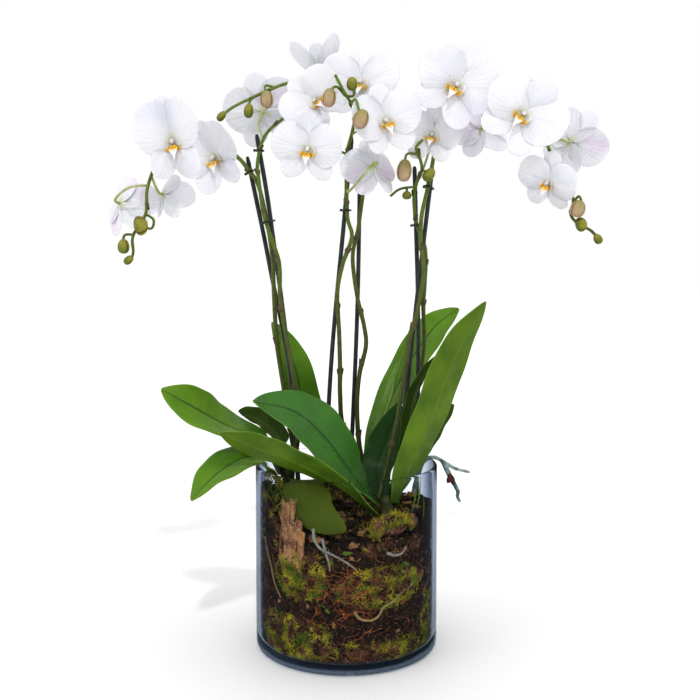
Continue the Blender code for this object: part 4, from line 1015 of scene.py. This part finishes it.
spikes = {
    "spike_left_front": {
        "stem": [(-62, -8, 189), (-52, -13, 238), (-58, -13, 300), (-71, -13, 376), (-73, -13, 421),
                 (-88, -13, 469), (-94, -14, 509), (-95, -14, 530), (-87, -16, 556), (-68, -16, 574),
                 (-50, -13, 583)],
        "shoots": {"flower_05": [(-88, -16, 553), (-94, -11, 565)],
                   "flower_08": [(-68, -16, 574), (-49, -26, 572)],
                   "flower_06": [(-53, -13, 582), (-38, -22, 588)]},
        "buds": []},
    "spike_left_back": {
        "stem": [(-55, 7, 189), (-62, 5, 235), (-68, 5, 273), (-77, 5, 335), (-80, 5, 394),
                 (-82, 5, 435), (-95, 5, 501), (-108, 3, 523), (-118, 4, 535), (-137, 12, 550),
                 (-158, 14, 562), (-177, 6, 564), (-192, -12, 552), (-199, -32, 529),
                 (-205, -56, 497), (-205, -66, 470), (-218, -66, 448), (-218, -66, 431)],
        "shoots": {"flower_01": [(-172, 9, 564), (-180, -18, 556)],
                   "flower_02": [(-140, 13, 552), (-146, 2, 549)],
                   "flower_03": [(-205, -55, 500), (-220, -62, 498), (-232, -58, 492)],
                   "flower_04": [(-200, -36, 525), (-203, -44, 512)]},
        "buds": [{"shoot": [(-205, -66, 470), (-197, -66, 464), (-199, -68, 455)],
                  "place": (-209, -71, 458), "size": (20, 13, 14), "turn": 80},
                 {"shoot": [(-217, -66, 449), (-227, -66, 448)],
                  "place": (-228, -66, 437), "size": (12, 12, 15), "turn": 0},
                 {"shoot": [(-218, -66, 434), (-219, -66, 427)],
                  "place": (-223, -66, 423), "size": (8, 8, 11), "turn": 50}]},
    "spike_centre_front": {
        "stem": [(11, 36, 187), (-4, 20, 236), (-7, 9, 275), (-7, 6, 305), (-8, 4, 344), (-10, 3, 387),
                 (-4, 3, 419), (6, 2, 449), (1, 1, 472), (0, 0, 522), (1, 0, 541), (6, -4, 560),
                 (9, -20, 573), (8, -40, 578), (5, -54, 584), (-3, -68, 595), (-11, -74, 609)],
        "shoots": {"flower_09": [(1, 0, 500), (3, -26, 496), (14, -44, 507), (27, -42, 522)],
                   "flower_10": [(6, -4, 559), (20, -12, 566)]},
        "buds": [{"shoot": [(-1, -63, 590), (-9, -68, 598), (-15, -70, 595)],
                  "place": (-17, -70, 587), "size": (14, 14, 19), "turn": 10},
                 {"shoot": [(-1, -62, 590), (7, -62, 590), (8, -63, 596)],
                  "place": (6, -64, 602), "size": (11, 11, 14), "turn": 0},
                 {"shoot": [(5, -54, 584), (10, -74, 584)],
                  "place": (15, -80, 564), "size": (16, 15, 20), "turn": 20},
                 {"shoot": [(1, 0, 538), (-8, -3, 542)], "place": None}]},
    "spike_centre_back": {
        "stem": [(20, 36, 187), (14, 33, 219), (12, 33, 261), (15, 33, 296), (22, 33, 326), (20, 33, 349),
                 (12, 33, 384), (7, 33, 427), (13, 33, 458), (18, 33, 493), (24, 32, 535),
                 (28, 30, 574), (18, 27, 604), (-7, 20, 622), (-34, 6, 622), (-61, -16, 612),
                 (-75, -28, 605), (-97, -34, 594), (-118, -38, 583), (-128, -40, 575)],
        "shoots": {"flower_11": [(16, 27, 606), (15, 16, 613)],
                   "flower_07": [(-12, 18, 623), (-25, 20, 625)]},
        "buds": [{"shoot": [(-75, -28, 605), (-84, -33, 606), (-85, -36, 601)],
                  "place": (-83, -38, 591), "size": (14, 14, 18), "turn": 0},
                 {"shoot": [(-97, -34, 594), (-101, -36, 589)],
                  "place": (-102, -38, 579), "size": (10, 10, 15), "turn": 5},
                 {"shoot": [], "place": (-130, -41, 573), "size": (8, 8, 12), "turn": 40}]},
    "spike_right_back": {
        "stem": [(27, 43, 187), (52, 41, 236), (78, 41, 275), (88, 38, 321), (87, 34, 373), (88, 30, 393),
                 (88, 22, 435), (78, 18, 463), (75, 15, 485), (75, 11, 497), (77, 5, 508), (82, -4, 522),
                 (78, -10, 537), (75, -14, 544), (82, -17, 552)],
        "shoots": {"flower_13": [(78, 4, 509), (86, 17, 527)]},
        "buds": [{"shoot": [(78, -10, 537), (66, -17, 537), (63, -18, 531)],
                  "place": (62, -19, 519), "size": (16, 16, 24), "turn": 5},
                 {"shoot": [(82, -3, 521), (88, -9, 518)],
                  "place": (89, -12, 515), "size": (12, 12, 16), "turn": 40},
                 {"shoot": [(77, 8, 504), (59, 2, 501), (48, -2, 493)], "place": None},
                 {"shoot": [(66, 5, 502), (66, 1, 500)],
                  "place": (66, 0, 494), "size": (10, 9, 9), "turn": 0}]},
    "spike_right_front": {
        "stem": [(35, -34, 168), (43, -24, 198), (54, -16, 244), (66, -5, 315), (69, -3, 339),
                 (76, -3, 361), (84, -3, 404), (83, -3, 429), (81, -2, 443), (82, -1, 471),
                 (88, 1, 498), (93, 5, 522), (99, 15, 550), (109, 20, 576), (124, 17, 592),
                 (144, 10, 598), (170, 2, 595), (195, -6, 580), (211, -12, 557), (221, -18, 532),
                 (230, -24, 512), (236, -40, 494), (237, -46, 481), (234, -48, 470),
                 (241, -50, 461), (254, -50, 454), (261, -50, 447)],
        "shoots": {"flower_12": [(122, 17, 591), (121, 2, 600)],
                   "flower_15": [(184, -2, 588), (187, -26, 578)],
                   "flower_14": [(146, 9, 598), (150, 18, 590)],
                   "flower_16": [(216, -15, 545), (228, -14, 552)],
                   "flower_17": [(226, -21, 521), (228, -32, 516)]},
        "buds": [{"shoot": [(236, -46, 482), (241, -52, 489), (243, -56, 482)],
                  "place": (239, -57, 476), "size": (16, 14, 18), "turn": 20},
                 {"shoot": [], "place": (244, -52, 460), "size": (15, 11, 12), "turn": 75},
                 {"shoot": [], "place": (262, -50, 445), "size": (9, 9, 11), "turn": -30}]},
}

clips = [
    {"pair": "left_front", "height": 541},
    {"pair": "left_back", "height": 520},
    {"pair": "left_front", "height": 465},
    {"pair": "centre_front", "height": 526},
    {"pair": "centre_front", "height": 478},
    {"pair": "right_back", "height": 463},
    {"pair": "right_front", "height": 503},
]

stakeLook = {"radius": 0.0024, "tip": 0.0015, "steps": 60, "sides": 16}
clipLook = {"wire": 0.0009, "play": 0.0010, "steps": 48, "tab": (0.0014, 0.0030, 0.0026), "tabStart": 0.0006,
            "tabPitch": 0.0011}


def makeStakes():
    for name, route in stakes.items():
        points = smoothRoute([toMetres(point) for point in route], stakeLook["steps"])
        radii = [stakeLook["radius"] * (1 + 0.03 * roughness(point, 220.0)) for point in points]
        radii[-1] = stakeLook["tip"]
        bm = bmesh.new()
        addMesh(bm, tubeMesh([(points, radii)], stakeLook["sides"]))
        finishPiece(pieceName(name), bm, [looks["stake"]], [name], sharp=50)


def routeAt(route, height):
    path = smoothRoute([toMetres(point) for point in route], 121)
    for first, second in zip(path, path[1:]):
        if second.z * 1000 >= height:
            return first.lerp(second, (height / 1000 - first.z) / (second.z - first.z)), second - first
    return path[-1], path[-1] - path[-2]


def makeClips():
    # a wire loop with a ridged finger tab
    wire, steps = clipLook["wire"], clipLook["steps"]
    room = stakeLook["radius"] + wire + clipLook["play"]
    for number, clip in enumerate(clips, 1):
        stake, along = routeAt(stakes["stake_" + clip["pair"]], clip["height"])
        stem, stemAlong = routeAt(spikes["spike_" + clip["pair"]]["stem"], clip["height"])
        up = (along.normalized() + stemAlong.normalized()).normalized()
        side = (stem - stake).cross(up).normalized()
        ahead = up.cross(side)
        gap = (stem - stake).length / 2
        ring = []
        for step in range(steps + 1):
            angle = tau * step / steps
            spot = Vector((room * cos(angle), room * sin(angle), 0))
            spot.y += gap * max(-1.0, min(1.0, sin(angle) * 4))
            ring.append(spot)
        bm = bmesh.new()
        addMesh(bm, tubeMesh([(ring, [wire] * len(ring))], 12))
        for ridge in range(2):
            tab = Matrix.Diagonal((*clipLook["tab"], 1))
            verts = bmesh.ops.create_cube(bm, size=1.0, matrix=tab)["verts"]
            reach = room + clipLook["tabStart"] + ridge * clipLook["tabPitch"]
            bmesh.ops.translate(bm, verts=verts, vec=(reach, 0, 0))
        turn = Matrix((side, ahead, up)).transposed().to_4x4()
        bmesh.ops.transform(bm, matrix=Matrix.Translation(stake.lerp(stem, 0.5)) @ turn, verts=bm.verts)
        finishPiece("clipLoop-%d" % number, bm, [looks["clip"]], ["clip_%d" % number], sharp=40)


spikeLook = {"steps": 150, "base": 0.0026, "end": 0.0014, "joint": 17, "swell": 0.12, "sides": 14,
             "stalkSteps": 30, "stalk": (0.0012, 0.0015), "shoot": 0.0013, "blushFrom": 17,
             "scaleLength": 0.0065, "scaleSheet": 0.00025}


def budPoint(u, v, size):
    # an egg with a blunt beak and three shallow grooves
    angle, rise = u * pi, v * pi
    girth = sin(rise) ** 0.85 * (1 + 0.10 * cos(rise))
    groove = 1 - 0.20 * exp(-(((u + 1) * 1.5) % 1 - 0.5) ** 2 / 0.006) * sin(rise)
    return Vector((size.x * girth * groove * sin(angle), size.y * girth * groove * cos(angle),
                   -size.z * cos(rise)))


def makeSpike(name, spike):
    rng = random.Random(name)
    steps = spikeLook["steps"]
    last = steps - 1
    stem = smoothRoute([toMetres(point) for point in spike["stem"]], steps)
    radii = [mixed(spikeLook["base"], spikeLook["end"], (step / last) ** 1.3) for step in range(steps)]
    joints = list(range(9, last, spikeLook["joint"]))
    for joint in joints:                 # stems swell a little at each joint
        for step in range(max(0, joint - 2), min(steps, joint + 3)):
            radii[step] *= 1.0 + spikeLook["swell"] * (1 - abs(step - joint) / 3)
    runs, stalks = [(stem, radii)], []
    stalkSteps = spikeLook["stalkSteps"]
    stalkRadii = [mixed(*spikeLook["stalk"], step / (stalkSteps - 1)) for step in range(stalkSteps)]
    for flowerName, route in spike["shoots"].items():
        place = flowerFrame(flowers[flowerName])
        points = [toMetres(point) for point in route]
        points += [place @ Vector((0, 0.0096, 0)), place @ Vector((0, 0.0012, 0))]
        stalks.append((smoothRoute(points, stalkSteps), stalkRadii))
    bm = bmesh.new()
    for bud in spike["buds"]:
        route = [toMetres(point) for point in bud["shoot"]]
        if bud["place"]:
            if route:
                route.append(toMetres(bud["place"]))
            size = Vector(bud["size"]) / 2000
            turn = Matrix.Translation(toMetres(bud["place"])) @ Matrix.Rotation(radians(bud["turn"]), 4, "Y")
            blush = bud["size"][2] >= spikeLook["blushFrom"]
            addSheet(bm, 30, 18, lambda u, v: turn @ budPoint(u, v, size), 3 if blush else 2)
        if len(route) > 1:
            runs.append((smoothRoute(route, 16), [spikeLook["shoot"]] * 16))
    bmesh.ops.remove_doubles(bm, verts=bm.verts, dist=0.00002)
    addMesh(bm, tubeMesh(runs, spikeLook["sides"]), 0)
    addMesh(bm, tubeMesh(stalks, 12), 1)
    for joint in joints:                 # a papery scale clasps each joint
        if joint > steps - 10:
            continue
        axis = (stem[joint + 1] - stem[joint - 1]).normalized()
        spin = Matrix.Rotation(rng.uniform(0, tau), 4, "Z")
        turn = (axis.to_track_quat("Z", "Y").to_matrix().to_4x4() @ spin).to_3x3()
        size = radii[joint] + 0.0004

        def scalePoint(u, v):
            angle = u * 2.4 * (1 - 0.75 * v * v)
            reach = size * (1 + 0.35 * v)
            spot = Vector((reach * sin(angle), reach * cos(angle), v * spikeLook["scaleLength"] - 0.001))
            return stem[joint] + turn @ spot

        faces = list(facesOf(addSheet(bm, 10, 8, scalePoint, 4)))
        bmesh.ops.recalc_face_normals(bm, faces=faces)
        bmesh.ops.solidify(bm, geom=faces, thickness=-spikeLook["scaleSheet"])
    skins = [looks[key] for key in ("stem", "stalk", "budGreen", "budBlush", "scale")]
    finishPiece(pieceName(name), bm, skins, [name])


# flowers: place in mm, the way each looks, roll clockwise seen from its front, size, then how far the
# petals cup forwards and how far the halves fold back

flowers = {
    "flower_01": {
        "place": (-177, -64, 543), "look": (0.05, -1.0, -0.10),
        "roll": -12, "size": 0.98, "cup": 0.10, "fold": 0.62},
    "flower_02": {
        "place": (-140, -22, 532), "look": (-0.35, -1.0, -0.25),
        "roll": -20, "size": 0.92, "cup": 0.16, "fold": 0.30},
    "flower_03": {
        "place": (-237, -40, 482), "look": (0.35, 0.85, -0.3),
        "roll": 10, "size": 0.76, "cup": 0.34, "fold": 0.35},
    "flower_04": {
        "place": (-193, -30, 492), "look": (0.45, 0.8, -0.3),
        "roll": 0, "size": 0.58, "cup": 0.40, "fold": 0.45},
    "flower_05": {
        "place": (-91, 5, 585), "look": (0.0, 1.0, 0.25),
        "roll": 15, "size": 0.94, "cup": 0.10, "fold": 0.10},
    "flower_06": {
        "place": (-32, -34, 589), "look": (-0.15, -1.0, 0.1),
        "roll": -50, "size": 0.80, "cup": 0.12, "fold": 0.22},
    "flower_07": {
        "place": (-30, 30, 630), "look": (-0.15, 0.30, 0.95),
        "roll": 30, "size": 0.64, "cup": 0.85, "fold": 0.30},
    "flower_08": {
        "place": (-39, -58, 537), "look": (-0.15, -1.0, -0.3),
        "roll": 5, "size": 0.83, "cup": 0.08, "fold": 0.14},
    "flower_09": {
        "place": (30, -18, 523), "look": (-0.35, 0.85, -0.4),
        "roll": 5, "size": 0.76, "cup": 0.16, "fold": 0.35},
    "flower_10": {
        "place": (40, -50, 566), "look": (0.3, -1.0, 0.0),
        "roll": -14, "size": 0.86, "cup": 0.08, "fold": 0.20},
    "flower_11": {
        "place": (15, 2, 614), "look": (-0.1, -1.0, 0.2),
        "roll": 5, "size": 0.95, "cup": 0.08, "fold": 0.26},
    "flower_12": {
        "place": (116, -28, 606), "look": (0.0, -1.0, 0.05),
        "roll": 33, "size": 1.05, "cup": 0.06, "fold": 0.10},
    "flower_13": {
        "place": (93, -4, 558), "look": (-0.2, -1.0, 0.0),
        "roll": 10, "size": 0.74, "cup": 0.12, "fold": 0.28},
    "flower_14": {
        "place": (152, 34, 570), "look": (0.1, 0.9, -0.3),
        "roll": 10, "size": 0.80, "cup": 0.12, "fold": 0.10},
    "flower_15": {
        "place": (182, -56, 572), "look": (-0.1, -1.0, 0.0),
        "roll": 42, "size": 1.00, "cup": 0.06, "fold": 0.10},
    "flower_16": {
        "place": (242, -6, 551), "look": (0.55, 0.8, 0.1),
        "roll": -40, "size": 0.84, "cup": 0.15, "fold": 0.30},
    "flower_17": {
        "place": (211, -46, 504), "look": (-0.65, -0.70, -0.35),
        "roll": 20, "size": 0.74, "cup": -0.05, "fold": 0.10},
}

raisedPetals = {"flower_01": 50, "flower_02": 62}     # side petals that point further up than usual
bloom = {"span": 0.094, "petalAcross": 20, "petalAlong": 16, "thickness": 0.0006}
# angle from the top, length and width of each part, how far behind the middle it starts
tepals = [
    {"angle": 0, "length": 0.50, "spread": 62, "narrow": 2.5, "behind": 0.0018, "bow": 0.0022},
    {"angle": 142, "length": 0.47, "spread": 62, "narrow": 2.6, "behind": 0.0016, "bow": 0.0030},
    {"angle": -142, "length": 0.47, "spread": 62, "narrow": 2.6, "behind": 0.0020, "bow": 0.0030},
    {"angle": 77, "length": 0.51, "spread": 84, "narrow": 0.62, "behind": -0.0004, "bow": 0.0040},
    {"angle": -77, "length": 0.51, "spread": 84, "narrow": 0.62, "behind": -0.0008, "bow": 0.0040},
]


def flowerFrame(flower):
    look = Vector(flower["look"]).normalized()
    right = look.cross(Vector((0, 0, 1))).normalized() * -1
    top = right.cross(look).normalized() * -1
    turn = Matrix((right, -look, top)).transposed().to_4x4()
    roll = Matrix.Rotation(radians(flower["roll"]), 4, "Y")
    return Matrix.Translation(toMetres(flower["place"])) @ turn @ roll


def makeFlower(name, flower):
    rng = random.Random(name)
    place = flowerFrame(flower)
    size = flower["size"]
    half = bloom["span"] / 2 * size
    bm = bmesh.new()
    for tepal in tepals:
        broad = tepal["narrow"] < 1
        length = tepal["length"] * bloom["span"] * size * rng.uniform(0.96, 1.03)
        spread = tepal["angle"]
        if broad and name in raisedPetals:
            spread = raisedPetals[name] * (1 if spread > 0 else -1)
        angle = radians(spread + rng.uniform(-4, 4))
        way, side = Vector((sin(angle), 0, cos(angle))), Vector((cos(angle), 0, -sin(angle)))
        phase, waves = rng.uniform(0, tau), rng.uniform(2.0, 3.2)
        ruffle = (0.0016 if broad else 0.0010) * size * rng.uniform(0.7, 1.4)
        lift = rng.uniform(-0.05, 0.07)
        twist = rng.uniform(-0.09, 0.09)
        hand = 1 if tepal["angle"] > 0 else -1

        def petalPoint(u, v):
            turn = u * radians(tepal["spread"])
            shape = max(0.0, cos(turn)) ** tepal["narrow"]
            if broad:
                shape *= 1 - 0.10 * sin(turn * 1.2) * hand - 0.035 * exp(-(turn / 0.09) ** 2)
            reach = length * mixed(0.03, 1.0, v) * shape
            across = reach * sin(turn)
            out = reach * cos(turn)
            share = reach / half
            depth = tepal["behind"]
            depth -= flower["cup"] * share * share * half + lift * out
            depth -= tepal["bow"] * size * sin(pi * min(1.0, out / length) * 0.95)
            depth += (0.0055 if broad else 0.0040) * size * (across / half) ** 2 * 2.2
            depth += ruffle * sin(turn * waves * 2 + phase + v * 2) * v ** 3
            depth += (0.0012 if broad else -0.0008) * size * exp(-(turn / 0.10) ** 2) * sin(pi * v) ** 0.8
            depth += twist * across
            spot = way * out + side * across
            depth -= abs(spot.x) * sin(flower["fold"])
            return place @ Vector((spot.x * cos(flower["fold"]), depth, spot.z))

        addSheet(bm, bloom["petalAcross"], bloom["petalAlong"], petalPoint)
    piece = finishPiece(pieceName(name), bm, [looks["petalFront"], looks["petalBack"]], [name],
                        recalc=False)
    addSolidify(piece, bloom["thickness"])
    addSubsurf(piece, 1)
    makeLip(name, place, size)


lip = {     # column, its cap and the two yellow lumps, then the tendril on each side
    "scale": 1.05, "thickness": 0.0006,
    "balls": [((0, -0.0040, 0.0012), (0.0025, 0.0048, 0.0026), 0),
              ((0, -0.0080, -0.0002), (0.0017, 0.0013, 0.0015), 0),
              ((-0.0013, -0.0072, -0.0050), (0.0015, 0.0020, 0.0022), 1),
              ((0.0013, -0.0072, -0.0050), (0.0015, 0.0020, 0.0022), 1)],
    "tendril": [(0.0008, -0.0148, -0.0174), (0.0026, -0.0165, -0.0196), (0.0048, -0.0150, -0.0190),
                (0.0050, -0.0128, -0.0165)],
}


def makeLip(name, place, size):
    scale = size * lip["scale"]
    bm = bmesh.new()
    for hand in (-1, 1):                 # side lobes, curved up round the column

        def lobePoint(u, v):
            sweep = mixed(0.25, 2.35, v)
            flare = mixed(0.0040, 0.0088, (1 - u) / 2) * (1 - 0.15 * v)
            wide = sin(pi * mixed(0.12, 0.93, v)) ** 0.6
            spot = Vector((hand * (0.0016 + flare * sin(sweep)), -0.0052 + u * 0.0036 * wide,
                           -0.0010 - flare * cos(sweep)))
            return place @ (spot * scale)

        addSheet(bm, 8, 12, lobePoint)

    def frontPoint(u, v):                # front lobe: an arrow that leans out and down
        wide = mixed(0.0024, 0.0046, sin(pi * min(1.0, v * 0.9)) ** 1.1)
        wide *= 1 - 0.8 * max(0.0, v - 0.5) / 0.5
        spot = Vector((u * wide, -0.0045 - 0.0105 * sin(v * 1.5), -0.0052 - 0.0125 * v * v + 0.0012 * u * u))
        return place @ (spot * scale)

    addSheet(bm, 8, 14, frontPoint)
    piece = finishPiece(pieceName(name) + "-lip", bm, [looks["lip"], looks["lip"]],
                        recalc=False)
    addSolidify(piece, lip["thickness"])
    addSubsurf(piece, 1)
    bm = bmesh.new()
    lean = place.to_3x3().to_4x4() @ Matrix.Rotation(0.35, 4, "X")
    for spot, radii, index in lip["balls"]:
        addBall(bm, place @ (Vector(spot) * scale), Vector(radii) * scale, lean, 16, 10, index)
    tendrils = []
    for hand in (-1, 1):
        points = [place @ (Vector((hand * x, y, z)) * scale) for x, y, z in lip["tendril"]]
        tendrils.append((smoothRoute(points, 14), [0.0004 * scale] * 14))
    addMesh(bm, tubeMesh(tendrils, 6), 0)
    finishPiece(pieceName(name) + "-column", bm, [looks["column"], looks["callus"]])


# the root that climbs over the rim

airRoot = {
    "main": [(72, 8, 148), (77, 8, 172), (85, 7, 198), (97, 4, 205), (110, 1, 199), (121, 0, 193),
             (137, 0, 189)],
    "fork": [(107, 0, 201), (115, -1, 184), (123, -1, 169), (123, -1, 162), (126, -1, 156)],
    "radii": (0.0028, 0.0014), "tip": 0.0004, "steps": 44, "scraps": ((-0.5, 0.010), (0.5, 0.013)),
}


def makeAerialRoot():
    rng = random.Random(3)
    runs, steps = [], airRoot["steps"]
    for route in (airRoot["main"], airRoot["fork"]):
        points = smoothRoute([toMetres(point) for point in route], steps)
        radii = [mixed(*airRoot["radii"], step / (steps - 1)) * rng.uniform(0.90, 1.12)
                 for step in range(steps)]
        radii[-1] = airRoot["tip"]
        runs.append((points, radii))
    bm = bmesh.new()
    addMesh(bm, tubeMesh(runs, 14), 0)
    fork = toMetres(airRoot["fork"][1])
    for turn, length in airRoot["scraps"]:      # withered scraps that cling to the fork
        way = Vector((sin(turn), 0, -cos(turn)))

        def scrapPoint(u, v):
            wide = 0.0032 * sin(pi * mixed(0.12, 0.94, v)) ** 0.8
            across = Vector((u * wide * cos(turn), -0.0030 + 0.0008 * u * u, u * wide * sin(turn)))
            return fork + way * ((v - 0.3) * length) + across

        verts = addSheet(bm, 6, 10, scrapPoint, 1)
        bmesh.ops.solidify(bm, geom=list(facesOf(verts)), thickness=-0.0003)
    finishPiece("aerialRoot", bm, [looks["airRoot"], looks["witheredScrap"]], ["aerial_root"])


makeVase()
makeMixCore()
makeChips()
makeMoss()
makeGlassRoots()
makeScraps()
makeSlab()
makeMound()
print("vase and fill done")
makeCrowns()
for seed, (name, shape) in enumerate(leaves.items()):
    makeLeaf(name, shape, seed)
print("leaves done")
makeStakes()
for name, spike in spikes.items():
    makeSpike(name, spike)
makeClips()
makeAerialRoot()
print("stakes and spikes done")
for name, flower in flowers.items():
    makeFlower(name, flower)
print("flowers done")


def makeStage():
    material, tree, shader, place = newMaterial("paleFloor", 0.6, **{"Specular IOR Level": 0.15})
    colour = mixColours(tree, addPatches(tree, place, 3.0), (0.93, 0.93, 0.93), (0.915, 0.915, 0.92))
    paint(tree, shader, colour)
    bm = bmesh.new()
    bmesh.ops.create_grid(bm, x_segments=1, y_segments=1, size=12.0)
    mesh = bpy.data.meshes.new("floor")
    bm.to_mesh(mesh)
    bm.free()
    mesh.materials.append(material)
    floor = bpy.data.objects.new("floor", mesh)
    bpy.context.scene.collection.objects.link(floor)


lamps = {      # suns: the way each one shines, its strength and how soft its shadows are, in degrees
    "keySun": {"towards": (-0.12, 1.0, -1.0), "strength": 0.80, "softness": 3},
    "leftSun": {"towards": (0.75, 0.35, -0.55), "strength": 0.30, "softness": 30},
}
skyStrength = 1.0


def makeLamps():
    for name, lamp in lamps.items():
        light = bpy.data.lights.new(name, "SUN")
        light.energy = lamp["strength"]
        light.angle = radians(lamp["softness"])
        item = bpy.data.objects.new(name, light)
        item.rotation_euler = Vector(lamp["towards"]).to_track_quat("-Z", "Y").to_euler()
        bpy.context.scene.collection.objects.link(item)
    world = bpy.data.worlds.new("studio")
    world.use_nodes = True
    background = world.node_tree.nodes["Background"]
    background.inputs["Color"].default_value = (1.0, 1.0, 1.0, 1.0)
    background.inputs["Strength"].default_value = skyStrength
    bpy.context.scene.world = world


cameraLook = {"place": (0.004, -1.05, 0.415), "pitch": 3.0, "lens": 49.27, "shift": -32 / 700}


def makeCamera():
    data = bpy.data.cameras.new("camera")
    data.lens = cameraLook["lens"]
    data.sensor_width = 36.0
    data.shift_y = cameraLook["shift"]
    camera = bpy.data.objects.new("camera", data)
    camera.location = cameraLook["place"]
    camera.rotation_euler = (radians(90 - cameraLook["pitch"]), 0, 0)
    bpy.context.scene.collection.objects.link(camera)
    bpy.context.scene.camera = camera


makeStage()
makeLamps()
makeCamera()
bpy.context.scene.view_settings.view_transform = "Standard"
bpy.context.scene.view_settings.gamma = 0.80       # deeper middle tones, white stays white
print("stage, light and camera done")
